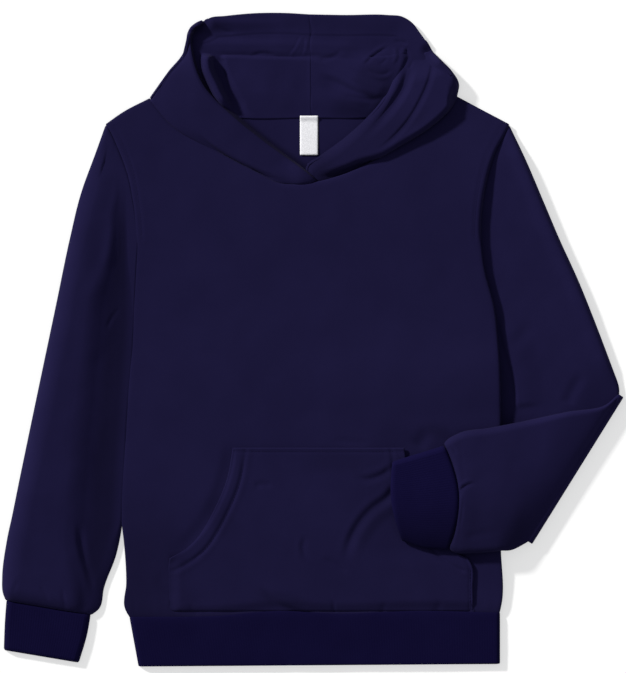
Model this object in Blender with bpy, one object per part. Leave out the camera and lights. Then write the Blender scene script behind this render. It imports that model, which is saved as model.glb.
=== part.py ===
# A toddler's pullover hoodie laid flat on a table, face up: right sleeve straight, left sleeve folded at
# the elbow with its forearm over the pocket. +X is the wearer's left, +Y runs from the hem to the hood and
# +Z is up from the table. Sizes and tables are in millimetres, and each mesh is written in metres.

import math
from collections import namedtuple

import bmesh
import bpy
import numpy as np

MM = 0.001

FLEECE = 2.4            # wall of the brushed fleece
RIB = 2.6               # wall of the doubled rib
LABEL_WALL = 0.7        # woven label
GAP = 0.3               # between neighbouring pieces
TWO_LAYERS = 2 * FLEECE + GAP
RIB_HEIGHT = 2 * RIB + 0.5

BODY_CROWN = 3.0        # most air between front and back
CROWN_SIDE = (4.0, 90.0)        # distance from a side where that air begins and is full
CROWN_HEM = (-233.0, -120.0)    # y where it begins and is full, from the hem
CROWN_NECK = (128.0, 60.0)      # and from the neck
LIFT = 5.6              # how far the body's sides ride up over the sleeves
LIFT_REACH = 20.0       # how far in from the side the riding up begins
LIFT_FULL = 10.0        # where it has its full height
LIFT_ROWS = (80.0, 60.0, -150.0, -172.0)    # y where it starts, is full, ends being full, is gone

SLEEVE_CROWN = 8.6      # full height of a sleeve in its middle
SECTION_POWER = 0.8     # under 1 a tube's section is fuller than a sine
FOREARM_FLOOR = 11.6    # underside of the folded forearm, over the body and the pocket
WAIST_CROWN = 0.8       # how much the waistband stands over its flat edges

HOOD_WRAP = 3.6         # radius of the fold along the hood's outline
HOOD_WRAP_TOP = 2.4     # and at the top corner
HOOD_BULGE = 2.6        # how far the hood's top layer rises above that fold
POUCH_RISE = 3.6        # inner fold of the hood stands this much higher
POUCH_START = (190.0, 206.0)    # y where it begins and is full
POUCH_EDGE = 233.5      # y of the fold across the inside of the hood
POUCH_STEEP = 3.0       # how far its far side takes to come down
POUCH_MIDDLE = -3.0     # x of its middle
POUCH_SIDE = (66.0, 40.0)       # distance from the middle where it begins and is full

NAVY = (0.0107, 0.0089, 0.0382, 1.0)
NAVY_RIB = (0.0068, 0.0053, 0.0273, 1.0)
LABEL_WHITE = (0.85, 0.85, 0.86, 1.0)

Point = namedtuple("Point", "x y")
SleeveRow = namedtuple("SleeveRow", "outer inner margin height bow")
FoldRow = namedtuple("FoldRow", "upper lower floor height bow")
CuffRow = namedtuple("CuffRow", "outer inner bow")
PocketRow = namedtuple("PocketRow", "y left right")

# Outline of the body
RIGHT_SIDE = [Point(-173, 180.4), Point(-170.5, 176.6), Point(-163, 160.7), Point(-155.4, 140.5),
              Point(-151.2, 119.5), Point(-147.8, 83.4), Point(-149.9, 33), Point(-151.6, -4.8),
              Point(-154.1, -39.3), Point(-158.3, -97.2), Point(-160, -150.2), Point(-157.5, -172.8),
              Point(-155.8, -205), Point(-157, -226), Point(-152.5, -234.1)]
LEFT_SIDE = [Point(165.1, 180.4), Point(162.6, 174.9), Point(152.5, 155.2), Point(145.3, 130),
             Point(141.1, 93.9), Point(143.6, 61.5), Point(152.5, 25.4), Point(155.4, -3.2),
             Point(157.9, -72), Point(158.3, -176), Point(159, -222), Point(157.1, -230.5)]
RIGHT_SHOULDER = [Point(-173, 180.4), Point(-157.9, 190.9), Point(-136.9, 201.8)]
LEFT_SHOULDER = [Point(121.8, 203.5), Point(145.3, 190.9), Point(165.1, 180.4)]
FRONT_NECK = [Point(-136.9, 201.8), Point(-117.6, 180), Point(-78.1, 156.5), Point(-47.9, 140.5),
              Point(-26.9, 130.6), Point(-10, 129.8), Point(6.7, 132.4), Point(27.7, 138.4),
              Point(48.7, 148), Point(73.9, 162.4), Point(99.1, 178.4), Point(115.9, 194.4),
              Point(121.8, 203.5)]
NECK_MIDDLE = 0.527     # share of the neckline where the halves of the hood meet
BACK_NECK = [Point(-136.9, 201.8), Point(-106.7, 194.2), Point(-67.2, 187.1), Point(-2.1, 186.7),
             Point(48.7, 187.1), Point(92, 194.2), Point(121.8, 203.5)]
ARMHOLE_ROWS = (180.4, 174, 165, 153, 140, 126, 112, 98, 84)
BODY_ROWS = ARMHOLE_ROWS + (72, 60, 30, -10, -55, -100, -140, -150, -161, -172, -190, -209, -225, -234)
RIGHT_COLUMNS = np.array([0.0, 0.02, 0.036, 0.052, 0.075, 0.107])           # shares of the body's width
LEFT_COLUMNS = np.array([0.872, 0.91, 0.94, 0.956, 0.972, 0.986, 1.0])
NECK_COLUMNS = 6        # for each half of the neckline
HEM_SEAM = [Point(-152.5, -234.1), Point(-80.6, -233.3), Point(-26.9, -229.1), Point(18.5, -231.4),
            Point(89, -229.1), Point(157.1, -230.5)]
WAIST_EDGE = [Point(-144.9, -274.5), Point(157.1, -272.4)]
WAIST_ROWS = (0.0, 0.15, 0.85, 1.0)         # shares of the band's height that have a ring
WAIST_ENDS = (0.01, 0.99)                   # shares of its width where the flat part ends

# Sleeves. margin is the flat strip along the inner edge, bow is how far a ring follows the armhole.
TUBE_COLUMNS = np.array([0.0, 0.07, 0.18, 0.33, 0.5, 0.66, 0.8, 0.92, 1.0])     # shares of a tube's width
TUBE_END = np.radians([-50, 0, 50])                                             # round its two edges
SLEEVE_RIGHT = [
    SleeveRow(Point(-173.4, 180.4), Point(-148.4, 83.0), 12, TWO_LAYERS, 1.0),
    SleeveRow(Point(-182.5, 155), Point(-149.0, 70), 16, 7.0, 0.62),
    SleeveRow(Point(-192.5, 125), Point(-149.0, 56), 20, SLEEVE_CROWN, 0.3),
    SleeveRow(Point(-202.5, 85), Point(-142, 25), 24, SLEEVE_CROWN, 0.1),
    SleeveRow(Point(-214, 30), Point(-141.5, -6), 32, SLEEVE_CROWN, 0),
    SleeveRow(Point(-230, -46), Point(-145.3, -62), 38, SLEEVE_CROWN, 0),
    SleeveRow(Point(-245.4, -120), Point(-150, -128), 34, SLEEVE_CROWN, 0),
    SleeveRow(Point(-251.5, -150), Point(-160.9, -160), 26, SLEEVE_CROWN, 0),
    SleeveRow(Point(-255.4, -168), Point(-164.5, -179.5), 24, SLEEVE_CROWN, 0),
    SleeveRow(Point(-259.5, -200), Point(-175.5, -209), 16, SLEEVE_CROWN, 0),
    SleeveRow(Point(-258.8, -213), Point(-179.5, -226), 10, 7.6, 0),
    SleeveRow(Point(-256.3, -219.5), Point(-186.6, -231.6), 8, RIB_HEIGHT, 0),
]
CUFF_RIGHT = [
    CuffRow(Point(-256.2, -220.2), Point(-187.1, -232.2), 0),
    CuffRow(Point(-256.9, -236), Point(-189.5, -247), 0),
    CuffRow(Point(-257.9, -261), Point(-196.6, -271.3), 0),
]
SLEEVE_LEFT = [
    SleeveRow(Point(165.5, 180.4), Point(141.7, 84.6), 10, TWO_LAYERS, 1.0),
    SleeveRow(Point(180, 150), Point(142.5, 73), 16, 7.0, 0.62),
    SleeveRow(Point(193.8, 115.3), Point(144.4, 60), 18, SLEEVE_CROWN, 0.3),
    SleeveRow(Point(207.5, 83), Point(144.0, 26), 18, SLEEVE_CROWN, 0.1),
    SleeveRow(Point(222.3, 50.6), Point(147.4, -2), 16, SLEEVE_CROWN, 0),
    SleeveRow(Point(236.6, 15.3), Point(148.6, -34), 22, 8.2, 0),
    SleeveRow(Point(250.6, -21.6), Point(149.6, -66), 24, 6.4, 0),
    SleeveRow(Point(256.6, -38), Point(150.2, -118), 24, TWO_LAYERS, 0),
]
ELBOW = SleeveRow(Point(261.2, -49.4), Point(185.3, -171.3), 26, TWO_LAYERS, 0)
ELBOW_TURNS = (0, 45, 90, 135, 180)         # degrees through which the tube turns over
FOREARM = [
    FoldRow(Point(244, -58), Point(168, -175), 6.8, 7.0, 0),
    FoldRow(Point(214, -61.5), Point(158, -176.6), 9.6, 8.0, 0),
    FoldRow(Point(175, -69.8), Point(149, -177.6), FOREARM_FLOOR, SLEEVE_CROWN, 0),
    FoldRow(Point(148, -75), Point(133, -178.5), FOREARM_FLOOR, SLEEVE_CROWN, 2),
    FoldRow(Point(124, -79), Point(121.5, -178.5), FOREARM_FLOOR, SLEEVE_CROWN, 5),
    FoldRow(Point(113.5, -85), Point(117, -176.5), FOREARM_FLOOR, 7.4, 9),
    FoldRow(Point(110.9, -88.2), Point(115, -174.8), FOREARM_FLOOR, RIB_HEIGHT, 11),
]
CUFF_LEFT = [
    CuffRow(Point(110.5, -88.3), Point(114.6, -174.8), 11),
    CuffRow(Point(90, -96), Point(96, -172.5), 5),
    CuffRow(Point(68.5, -102.8), Point(78.1, -170.3), -3),
]

# Outline of the hood, each half from the neck to the top
HOOD_ROWS = np.array([0, 0.1, 0.2, 0.32, 0.44, 0.52, 0.56, 0.6, 0.7, 0.85, 1.0])    # from neck to top
HOOD_COLUMNS = np.array([0, 0.3, 0.56, 0.77, 0.91, 1])      # shares from the centre seam to the fold
HOOD_TURNS = np.radians([45, 90, 135])                      # round the fold along the outline
RIGHT_OUTLINE = [Point(-136.1, 203.1), Point(-121, 224.5), Point(-106.7, 246.3), Point(-105.6, 253.5)]
LEFT_OUTLINE = [Point(121.8, 204.5), Point(122.6, 215.6), Point(112, 230.5), Point(100, 244.7),
                Point(91.6, 259)]
RIGHT_TOP = [Point(-2.1, 272.8), Point(-35.7, 274.1), Point(-60.5, 272.4), Point(-81.5, 269.9),
             Point(-94.9, 267.3), Point(-102.3, 261.5)]
LEFT_TOP = [Point(-1.5, 272.8), Point(38, 272.3), Point(75.6, 271.9), Point(84.5, 269.2),
            Point(88.5, 264)]
RIGHT_RIM = [Point(-5, 139.7), Point(-40.3, 164.9), Point(-66.4, 185.9), Point(-89, 211.9),
             Point(-97, 232.5), Point(-98.5, 250)]
LEFT_RIM = [Point(4.5, 141.5), Point(16, 155.6), Point(46.2, 180), Point(68, 213.6),
            Point(79.5, 236.3), Point(83.5, 251)]
CENTRE_SEAM = [Point(-0.4, 187.2), Point(-1.2, 230), Point(-1.8, 272.8)]

POCKET_COLUMNS = 9
POCKET = [
    PocketRow(-90.9, -66.4, 77.3),
    PocketRow(-117.4, -71.4, 81.7),
    PocketRow(-140.1, -80.6, 90.9),
    PocketRow(-155, -88.4, 98.8),
    PocketRow(-166, -95.5, 106),
    PocketRow(-174, -103.5, 114),
    PocketRow(-180, -112.5, 123),
    PocketRow(-183.8, -119.6, 131),
    PocketRow(-190, -120.4, 134.4),
    PocketRow(-209, -120.7, 135),
    PocketRow(-227, -121, 135.6),
]
LABEL = (-10.1, 5.0, 154.6, 186.2)      # lowest and highest x, lowest and highest y


def clear_scene():
    for item in list(bpy.data.objects):
        bpy.data.objects.remove(item, do_unlink=True)


def fabric(name, colour, roughness):
    material = bpy.data.materials.new(name)
    material.use_nodes = True
    shader = material.node_tree.nodes["Principled BSDF"]
    shader.inputs["Base Color"].default_value = colour
    shader.inputs["Roughness"].default_value = roughness
    shader.inputs["Metallic"].default_value = 0.0
    material.diffuse_color = colour
    return material


def ease(start, end, value):
    """Smooth step from 0 at start to 1 at end, either of which may be the larger."""
    t = np.clip((value - start) / (end - start), 0.0, 1.0)
    return t * t * (3 - 2 * t)


def along(points, places):
    """Points of a smooth curve through the given ones; places run from 0 to 1 along its length."""
    points = np.array(points, float)
    places = np.atleast_1d(np.array(places, float))
    steps = np.linalg.norm(np.diff(points, axis=0), axis=1)
    stations = np.concatenate([[0], np.cumsum(steps)]) / steps.sum()
    slopes = np.gradient(points, stations, axis=0)
    k = np.clip(np.searchsorted(stations, places, side="right") - 1, 0, len(stations) - 2)
    width = (stations[k + 1] - stations[k])[:, None]
    t = ((places - stations[k]) / width[:, 0])[:, None]
    return ((2 * t**3 - 3 * t**2 + 1) * points[k] + (t**3 - 2 * t**2 + t) * width * slopes[k]
            + (3 * t**2 - 2 * t**3) * points[k + 1] + (t**3 - t**2) * width * slopes[k + 1])


def at_height(points, y):
    """Points of an outline that runs steadily downwards, at the heights y."""
    table = along(points, np.linspace(0, 1, 200))[::-1]
    x = np.interp(y, table[:, 1], table[:, 0])
    return np.stack([x, np.broadcast_to(y, x.shape)], axis=-1)


def patch(first, last, left, right, u, v):
    """Grid between four edge curves: first and last are sampled at u, left and right at v."""
    u = u[None, :, None]
    v = v[:, None, None]
    ruled_down = (1 - v) * first[None] + v * last[None]
    ruled_across = (1 - u) * left[:, None] + u * right[:, None]
    corners = ((1 - u) * (1 - v) * first[0] + u * (1 - v) * first[-1]
               + (1 - u) * v * last[0] + u * v * last[-1])
    return ruled_down + ruled_across - corners


def with_height(plan, z):
    return np.concatenate([plan, z[..., None]], axis=-1)


def build(name, material, points, faces):
    mesh = bpy.data.meshes.new(name)
    mesh.from_pydata([tuple(p) for p in points * MM], [], faces)
    body = bmesh.new()
    body.from_mesh(mesh)
    bmesh.ops.triangulate(body, faces=body.faces)
    bmesh.ops.recalc_face_normals(body, faces=body.faces)
    body.to_mesh(mesh)
    body.free()
    mesh.materials.append(material)
    mesh.shade_smooth()
    mesh.set_sharp_from_angle(angle=math.radians(50))
    piece = bpy.data.objects.new(name, mesh)
    bpy.context.collection.objects.link(piece)
    return piece


def sheet(name, material, under, over):
    """Closed wall of cloth between two grids of points."""
    rows, columns = under.shape[:2]
    points = np.concatenate([under.reshape(-1, 3), over.reshape(-1, 3)])
    size = rows * columns
    faces = []
    for r in range(rows - 1):
        for c in range(columns - 1):
            a = r * columns + c
            b, d, e = a + 1, a + columns, a + columns + 1
            faces.append((a, d, e, b))
            faces.append((a + size, b + size, e + size, d + size))
    top = list(range(columns))
    right = [r * columns + columns - 1 for r in range(1, rows)]
    bottom = [(rows - 1) * columns + c for c in range(columns - 2, -1, -1)]
    left = [r * columns for r in range(rows - 2, 0, -1)]
    border = top + right + bottom + left
    for a, b in zip(border, border[1:] + border[:1]):
        faces.append((a, b, b + size, a + size))
    return build(name, material, points, faces)


def tube(name, material, rings):
    """Closed wall round an open tube. rings is a list of (outer, inner) loops of points."""
    count = len(rings[0][0])
    outer = np.array([ring[0] for ring in rings])
    inner = np.array([ring[1] for ring in rings])
    points = np.concatenate([outer.reshape(-1, 3), inner.reshape(-1, 3)])
    size = len(rings) * count
    faces = []
    for r in range(len(rings) - 1):
        for c in range(count):
            a = r * count + c
            b = r * count + (c + 1) % count
            faces.append((a, a + count, b + count, b))
            faces.append((a + size, b + size, b + count + size, a + count + size))
    for base in (0, (len(rings) - 1) * count):
        for c in range(count):
            a = base + c
            b = base + (c + 1) % count
            faces.append((a, b, b + size, a + size))
    return build(name, material, points, faces)


def ring(plan, start, crown, margin, wall, edge, places=None):
    """One section of a flattened tube, as its outer and inner loops.

    plan gives the place at a share of the width, start is the height of the face that lies down, and
    crown the height over it, which is edge high at both ends and along the margin at the inner one.
    places are the shares of the width that have a point.
    """
    a, b = plan(0.0), plan(1.0)
    width = np.linalg.norm(b - a)
    away = (b - a) / width
    radius = edge / 2
    end = radius / width
    places = end + TUBE_COLUMNS * (1 - 2 * end) if places is None else np.clip(places, end, 1 - end)
    loops = []
    for inset in (0.0, wall):
        r = radius - inset
        loop = []
        for angle in TUBE_END:
            place = a + away * (radius - r * math.cos(angle))
            loop.append((*place, start + radius + r * math.sin(angle)))
        for at in places:
            turn = math.pi * min(1.0, at * width / (width - margin))
            height = edge + (crown - edge) * abs(math.sin(turn)) ** SECTION_POWER
            loop.append((*plan(at), start + height - inset))
        for angle in TUBE_END[::-1]:
            place = b - away * (radius - r * math.cos(angle))
            loop.append((*place, start + radius + r * math.sin(angle)))
        for at in places[::-1]:
            loop.append((*plan(at), start + inset))
        loops.append(np.array(loop))
    return tuple(loops)


def straight(a, b, bow=0.0, curve=None):
    """Plan line from a to b, pushed aside by bow, or following a share bow of a curve's own bend."""
    a, b = np.array(a, float), np.array(b, float)
    aside = np.array([b[1] - a[1], a[0] - b[0]]) / np.linalg.norm(b - a)

    def plan(share):
        place = a + (b - a) * share
        if curve is not None:
            ends = along(curve, [0, 1])
            return place + bow * (along(curve, share)[0] - (ends[0] + (ends[1] - ends[0]) * share))
        return place - aside * bow * math.sin(math.pi * share)

    return plan


def turned(loops, axis_height, outward, degrees):
    """A section swung over about the fold line, which runs through the section's own plan line."""
    angle = math.radians(degrees)
    result = []
    for loop in loops:
        radius = axis_height - loop[:, 2]
        swung = loop.copy()
        swung[:, :2] += outward[None] * (radius * math.sin(angle))[:, None]
        swung[:, 2] = axis_height - radius * math.cos(angle)
        result.append(swung)
    return tuple(result)


def turned_over(loop):
    """The points of a section in the order that they have once the tube has been folded back over itself."""
    return np.roll(loop[::-1], len(TUBE_END), axis=0)


def side_distance(x, y):
    left = at_height(LEFT_SIDE, y)[..., 0] - x
    right = x - at_height(RIGHT_SIDE, y)[..., 0]
    return np.minimum(left, right)


def back_under(x, y):
    """Height of the back's underside: flat on the table, riding up over the sleeves at both sides."""
    start, full, end, gone = LIFT_ROWS
    rows = ease(start, full, y) * ease(gone, end, y)
    return LIFT * rows * ease(LIFT_REACH, LIFT_FULL, side_distance(x, y))


def front_under(x, y):
    """Height of the front's underside: on the back, with a little air in the middle of the body."""
    crown = ease(*CROWN_SIDE, side_distance(x, y)) * ease(*CROWN_HEM, y) * ease(*CROWN_NECK, y)
    return back_under(x, y) + FLEECE + GAP + BODY_CROWN * crown


def neck_places():
    """Shares of the neckline that have a point, the same for the body and the hood."""
    right = np.linspace(0, NECK_MIDDLE, NECK_COLUMNS)
    left = np.linspace(NECK_MIDDLE, 1, NECK_COLUMNS)
    return np.concatenate([right, left[1:]])


def neck_columns():
    """Shares of the body's width that have a point between the two shoulders."""
    return RIGHT_COLUMNS[-1] + neck_places() * (LEFT_COLUMNS[0] - RIGHT_COLUMNS[-1])


def side_points(side):
    """Points of a side's outline at the body's rows, the last of them at the end of the hem seam."""
    rows = np.array(BODY_ROWS)
    share = (rows[0] - rows) / (rows[0] - rows[-1])
    return at_height(side, rows[0] + (side[-1].y - rows[0]) * share), share


def body_grid(neck):
    """Plan grid of a body panel."""
    u = np.concatenate([RIGHT_COLUMNS, neck_columns()[1:-1], LEFT_COLUMNS])
    top = np.concatenate([
        along(RIGHT_SHOULDER, RIGHT_COLUMNS / RIGHT_COLUMNS[-1]),
        along(neck, neck_places()[1:-1]),
        along(LEFT_SHOULDER, (LEFT_COLUMNS - LEFT_COLUMNS[0]) / (1 - LEFT_COLUMNS[0]))])
    right, v = side_points(RIGHT_SIDE)
    left, v = side_points(LEFT_SIDE)
    return patch(top, along(HEM_SEAM, u), right, left, u, v)


def make_body(material):
    for name, neck, under in (("back_panel", BACK_NECK, back_under),
                              ("front_panel", FRONT_NECK, front_under)):
        plan = body_grid(neck)
        z = under(plan[..., 0], plan[..., 1])
        sheet(name, material, with_height(plan, z), with_height(plan, z + FLEECE))


def sleeve_rings(rows, side):
    """Rings of a sleeve on the table. The first follows the armhole, point by point as the body does."""
    armhole = side_points(side)[0][:len(ARMHOLE_ROWS)]
    steps = np.linalg.norm(np.diff(armhole, axis=0), axis=1)
    seam_places = np.concatenate([[0], np.cumsum(steps)]) / steps.sum()
    rings = []
    for row in rows:
        plan = straight(row.outer, row.inner, row.bow, armhole)
        places = seam_places if row.bow == 1 else None
        rings.append(ring(plan, 0.0, row.height, row.margin, FLEECE, TWO_LAYERS, places))
    return rings


def make_right_sleeve(material):
    tube("sleeve_right", material, sleeve_rings(SLEEVE_RIGHT, RIGHT_SIDE))


def make_left_sleeve(material):
    """Upper arm on the table, the turn over the elbow's fold line, then the forearm on top."""
    rings = sleeve_rings(SLEEVE_LEFT, LEFT_SIDE)
    fold = np.array(ELBOW.inner) - np.array(ELBOW.outer)
    outward = np.array([-fold[1], fold[0]]) / np.linalg.norm(fold)
    axis_height = TWO_LAYERS + GAP / 2
    a = np.array(ELBOW.outer) - outward * axis_height
    b = np.array(ELBOW.inner) - outward * axis_height
    flat = ring(straight(a, b), 0.0, ELBOW.height, ELBOW.margin, FLEECE, TWO_LAYERS)
    rings += [turned(flat, axis_height, outward, turn) for turn in ELBOW_TURNS]
    for row in FOREARM:
        upright = ring(straight(row.upper, row.lower, row.bow), row.floor, row.height, 0.0, FLEECE, TWO_LAYERS)
        rings.append(tuple(turned_over(loop) for loop in upright))
    tube("sleeve_left", material, rings)


def make_cuffs(material):
    for name, rows, floor in (("cuff_right", CUFF_RIGHT, 0.0), ("cuff_left", CUFF_LEFT, FOREARM_FLOOR)):
        rings = []
        for row in rows:
            plan = straight(row.outer, row.inner, row.bow)
            rings.append(ring(plan, floor, RIB_HEIGHT, 0.0, RIB, RIB_HEIGHT))
        tube(name, material, rings)


def make_waistband(material):
    rings = []
    first, last = WAIST_ENDS
    places = np.concatenate([[first], RIGHT_COLUMNS[3:-1], neck_columns(), LEFT_COLUMNS[1:4], [last]])
    for share in WAIST_ROWS:
        def plan(at, share=share):
            seam = along(HEM_SEAM, at)[0] - np.array([0, 1.2 * GAP])
            edge = along(WAIST_EDGE, at)[0]
            return seam + (edge - seam) * share
        rings.append(ring(plan, 0.0, RIB_HEIGHT + WAIST_CROWN, 0.0, RIB, RIB_HEIGHT, places))
    tube("waistband", material, rings)


def make_pocket(material):
    """Cut with curved hand openings, it lies on the front and is made from the front's own height."""
    rows = []
    for row in POCKET:
        x = np.linspace(row.left, row.right, POCKET_COLUMNS)
        y = np.full_like(x, row.y)
        rows.append(np.stack([x, y], axis=-1))
    plan = np.array(rows)
    z = front_under(plan[..., 0], plan[..., 1]) + FLEECE + GAP
    sheet("pocket", material, with_height(plan, z), with_height(plan, z + FLEECE))


def make_label(material):
    left, right, low, high = LABEL
    x, y = np.meshgrid(np.linspace(left, right, 3), np.linspace(high, low, 4))
    z = np.full_like(x, FLEECE + GAP)
    plan = np.stack([x, y], axis=-1)
    sheet("neck_label", material, with_height(plan, z), with_height(plan, z + LABEL_WALL))


def pouch(x, y):
    """The inside of the hood folds over itself: a raised lower part that ends in a steep edge."""
    across = ease(*POUCH_SIDE, np.abs(x - POUCH_MIDDLE))
    return POUCH_RISE * across * ease(*POUCH_START, y) * ease(POUCH_EDGE + POUCH_STEEP, POUCH_EDGE, y)


def normals(grid):
    down = np.gradient(grid, axis=0)
    across = np.gradient(grid, axis=1)
    normal = np.cross(down, across)
    return normal / np.linalg.norm(normal, axis=-1, keepdims=True)


def make_hood_half(name, material, outline, top, rim, halfway, side):
    """One panel: it lies on the table from the centre seam out, turns over and comes back to the rim.

    halfway picks this half's share of the neckline, from its end at the shoulder to the middle, and
    side is -1 for the right half and 1 for the left.
    """
    u, columns = HOOD_ROWS, HOOD_COLUMNS
    half = FLEECE / 2
    clear = np.array([0, 2 * GAP])
    edge = along(outline, u)
    run = np.gradient(edge, axis=0)
    outward = np.stack([run[:, 1], -run[:, 0]], axis=-1) * side
    outward /= np.linalg.norm(outward, axis=1, keepdims=True)
    flat_wrap = (FLEECE + GAP) / 2
    radius = flat_wrap + (HOOD_WRAP - flat_wrap) * ease(0, 0.3, u)
    radius -= (HOOD_WRAP - HOOD_WRAP_TOP) * ease(0.6, 1, u)
    fold = edge - outward * (radius + half)[:, None]

    neck_line = along(BACK_NECK, halfway[::-1]) + clear
    neck_line[-1] = fold[0]
    top_line = along(list(top) + [fold[-1]], columns)
    centre = along(CENTRE_SEAM, u)
    neck_line[0] = centre[0]
    top_line[0] = centre[-1]
    lower = patch(neck_line, top_line, centre, fold, columns, u)
    lower[:, 0, 0] += side * GAP / 2
    lower_z = half + pouch(lower[..., 0], lower[..., 1])

    wrap = np.stack([fold + outward * (radius * math.sin(t))[:, None] for t in HOOD_TURNS], axis=1)
    wrap_z = np.stack([half + radius * (1 - math.cos(t)) for t in HOOD_TURNS], axis=1)

    front_line = along(FRONT_NECK, halfway) + clear
    front_line[0] = fold[0]
    rim_line = along([front_line[-1] + np.array([side * GAP / 2, 0])] + list(rim), u)
    front_line[-1] = rim_line[0]
    end_line = along([fold[-1], rim[-1]], columns)
    upper = patch(front_line, end_line, fold, rim_line, columns, u)
    rise = HOOD_BULGE * ease(0, 0.35, u)[:, None] * np.sin(math.pi * columns)[None]
    upper_z = half + 2 * radius[:, None] + rise

    plan = np.concatenate([lower, wrap, upper], axis=1)
    grid = with_height(plan, np.concatenate([lower_z, wrap_z, upper_z], axis=1))
    shift = normals(grid) * half
    sheet(name, material, grid - shift, grid + shift)


def make_hood(material):
    places = neck_places()
    middle = len(places) // 2
    make_hood_half("hood_right", material, RIGHT_OUTLINE, RIGHT_TOP, RIGHT_RIM, places[:middle + 1], -1)
    make_hood_half("hood_left", material, LEFT_OUTLINE, LEFT_TOP, LEFT_RIM, places[:middle - 1:-1], 1)


clear_scene()
fleece = fabric("navy_fleece", NAVY, 0.9)
rib = fabric("navy_rib", NAVY_RIB, 0.9)
tape = fabric("white_tape", LABEL_WHITE, 0.7)
make_body(fleece)
make_right_sleeve(fleece)
make_left_sleeve(fleece)
make_cuffs(rib)
make_waistband(rib)
make_pocket(fleece)
make_label(tape)
make_hood(fleece)
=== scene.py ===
import math
from collections import namedtuple

import bpy
import numpy as np
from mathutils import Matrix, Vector, noise


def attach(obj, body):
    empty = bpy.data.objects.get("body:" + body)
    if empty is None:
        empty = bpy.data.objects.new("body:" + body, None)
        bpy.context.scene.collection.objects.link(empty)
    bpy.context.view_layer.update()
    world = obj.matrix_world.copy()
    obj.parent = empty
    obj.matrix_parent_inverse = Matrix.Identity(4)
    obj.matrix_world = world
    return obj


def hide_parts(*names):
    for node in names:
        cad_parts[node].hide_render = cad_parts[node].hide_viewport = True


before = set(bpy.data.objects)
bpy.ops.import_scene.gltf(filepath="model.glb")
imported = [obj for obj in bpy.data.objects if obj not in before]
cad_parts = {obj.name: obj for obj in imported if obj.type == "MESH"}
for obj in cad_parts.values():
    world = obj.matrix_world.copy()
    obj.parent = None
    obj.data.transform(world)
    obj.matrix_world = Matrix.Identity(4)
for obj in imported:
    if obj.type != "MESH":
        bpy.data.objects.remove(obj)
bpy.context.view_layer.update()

mm = 0.001      # every table below is in millimetres
print("frame loaded:", len(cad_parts), "nodes")

# A child's pullover hoodie laid flat, face up. +X is the wearer's left, +Y runs from hem to hood.

cloth = {
    "wall": 1.9,            # fleece
    "ribWall": 2.1,
    "layer": 2.1,           # room that one layer takes, with its share of the gap
    "gap": 0.25,
    "seamReach": 3.2,       # how far from a seam the cloth begins to sink to it
}
layer, gap = cloth["layer"], cloth["gap"]
half = layer / 2
pressed = layer + gap       # between the middles of two layers that lie on each other

# a soft fold or crease: a line, its cross-section as (distance to the line's right, height), and the
# shares of its length over which it fades in and out
Fold = namedtuple("Fold", "line section fades", defaults=[(0.3, 0.3)])


# curves and grids

def ease(start, end, value):
    # smooth step from 0 at start to 1 at end
    t = np.clip((value - start) / (end - start), 0.0, 1.0)
    return t * t * (3 - 2 * t)


def hill(distance, reach):
    # quarter round: 0 at the edge, 1 from reach on
    inward = 1 - np.clip(distance / reach, 0.0, 1.0)
    return np.sqrt(np.maximum(0.0, 1 - inward**2))


def ridge(distance, place, width):
    # a rounded ridge of height 1 at a place
    return np.exp(-((distance - place) / width) ** 2)


def stepped(value, knots):
    # runs through (place, height) knots and is level at each
    places, heights = np.array(knots, float).T
    k = np.clip(np.searchsorted(places, value, side="right") - 1, 0, len(places) - 2)
    t = np.clip((value - places[k]) / (places[k + 1] - places[k]), 0, 1)
    return heights[k] + (heights[k + 1] - heights[k]) * t * t * (3 - 2 * t)


def hermite(places, heights, value):
    # smooth curve through the heights at the places; a height may be a number or a point
    slopes = np.gradient(heights, places, axis=0)
    k = np.clip(np.searchsorted(places, value, side="right") - 1, 0, len(places) - 2)
    width = places[k + 1] - places[k]
    t = np.clip((value - places[k]) / width, 0, 1)
    if heights.ndim > 1:
        width, t = width[..., None], t[..., None]
    return ((2 * t**3 - 3 * t**2 + 1) * heights[k] + (t**3 - 2 * t**2 + t) * width * slopes[k]
            + (3 * t**2 - 2 * t**3) * heights[k + 1] + (t**3 - t**2) * width * slopes[k + 1])


def flowing(value, knots):
    # runs smoothly through (place, height) knots
    places, heights = np.array(knots, float).T
    return hermite(places, heights, value)


def stationsOf(line):
    # how far along the line each of its points is
    return np.concatenate([[0], np.cumsum(np.linalg.norm(np.diff(line, axis=0), axis=1))])


def along(points, places):
    # a smooth curve through the points, at shares of its length
    points = np.array(points, float)
    stations = stationsOf(points)
    return hermite(stations / stations[-1], points, np.atleast_1d(np.array(places, float)))


def drawn(points, count=60):
    return along(points, np.linspace(0, 1, count))


def atHeight(points, y):
    # where an outline that runs steadily downwards is at the heights y
    table = drawn(points, 300)[::-1]
    x = np.interp(y, table[:, 1], table[:, 0])
    return np.stack([x, np.broadcast_to(y, x.shape)], axis=-1)


def patch(first, last, left, right, u, v):
    # grid between four edges: first and last are sampled at u, left and right at v
    u = u[None, :, None]
    v = v[:, None, None]
    ruledDown = (1 - v) * first[None] + v * last[None]
    ruledAcross = (1 - u) * left[:, None] + u * right[:, None]
    corners = ((1 - u) * (1 - v) * first[0] + u * (1 - v) * first[-1]
               + (1 - u) * v * last[0] + u * v * last[-1])
    return ruledDown + ruledAcross - corners


edgeSteps = (0.25, 0.6, 1.1, 1.8)       # from a cut edge, where its rounding needs points


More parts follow.
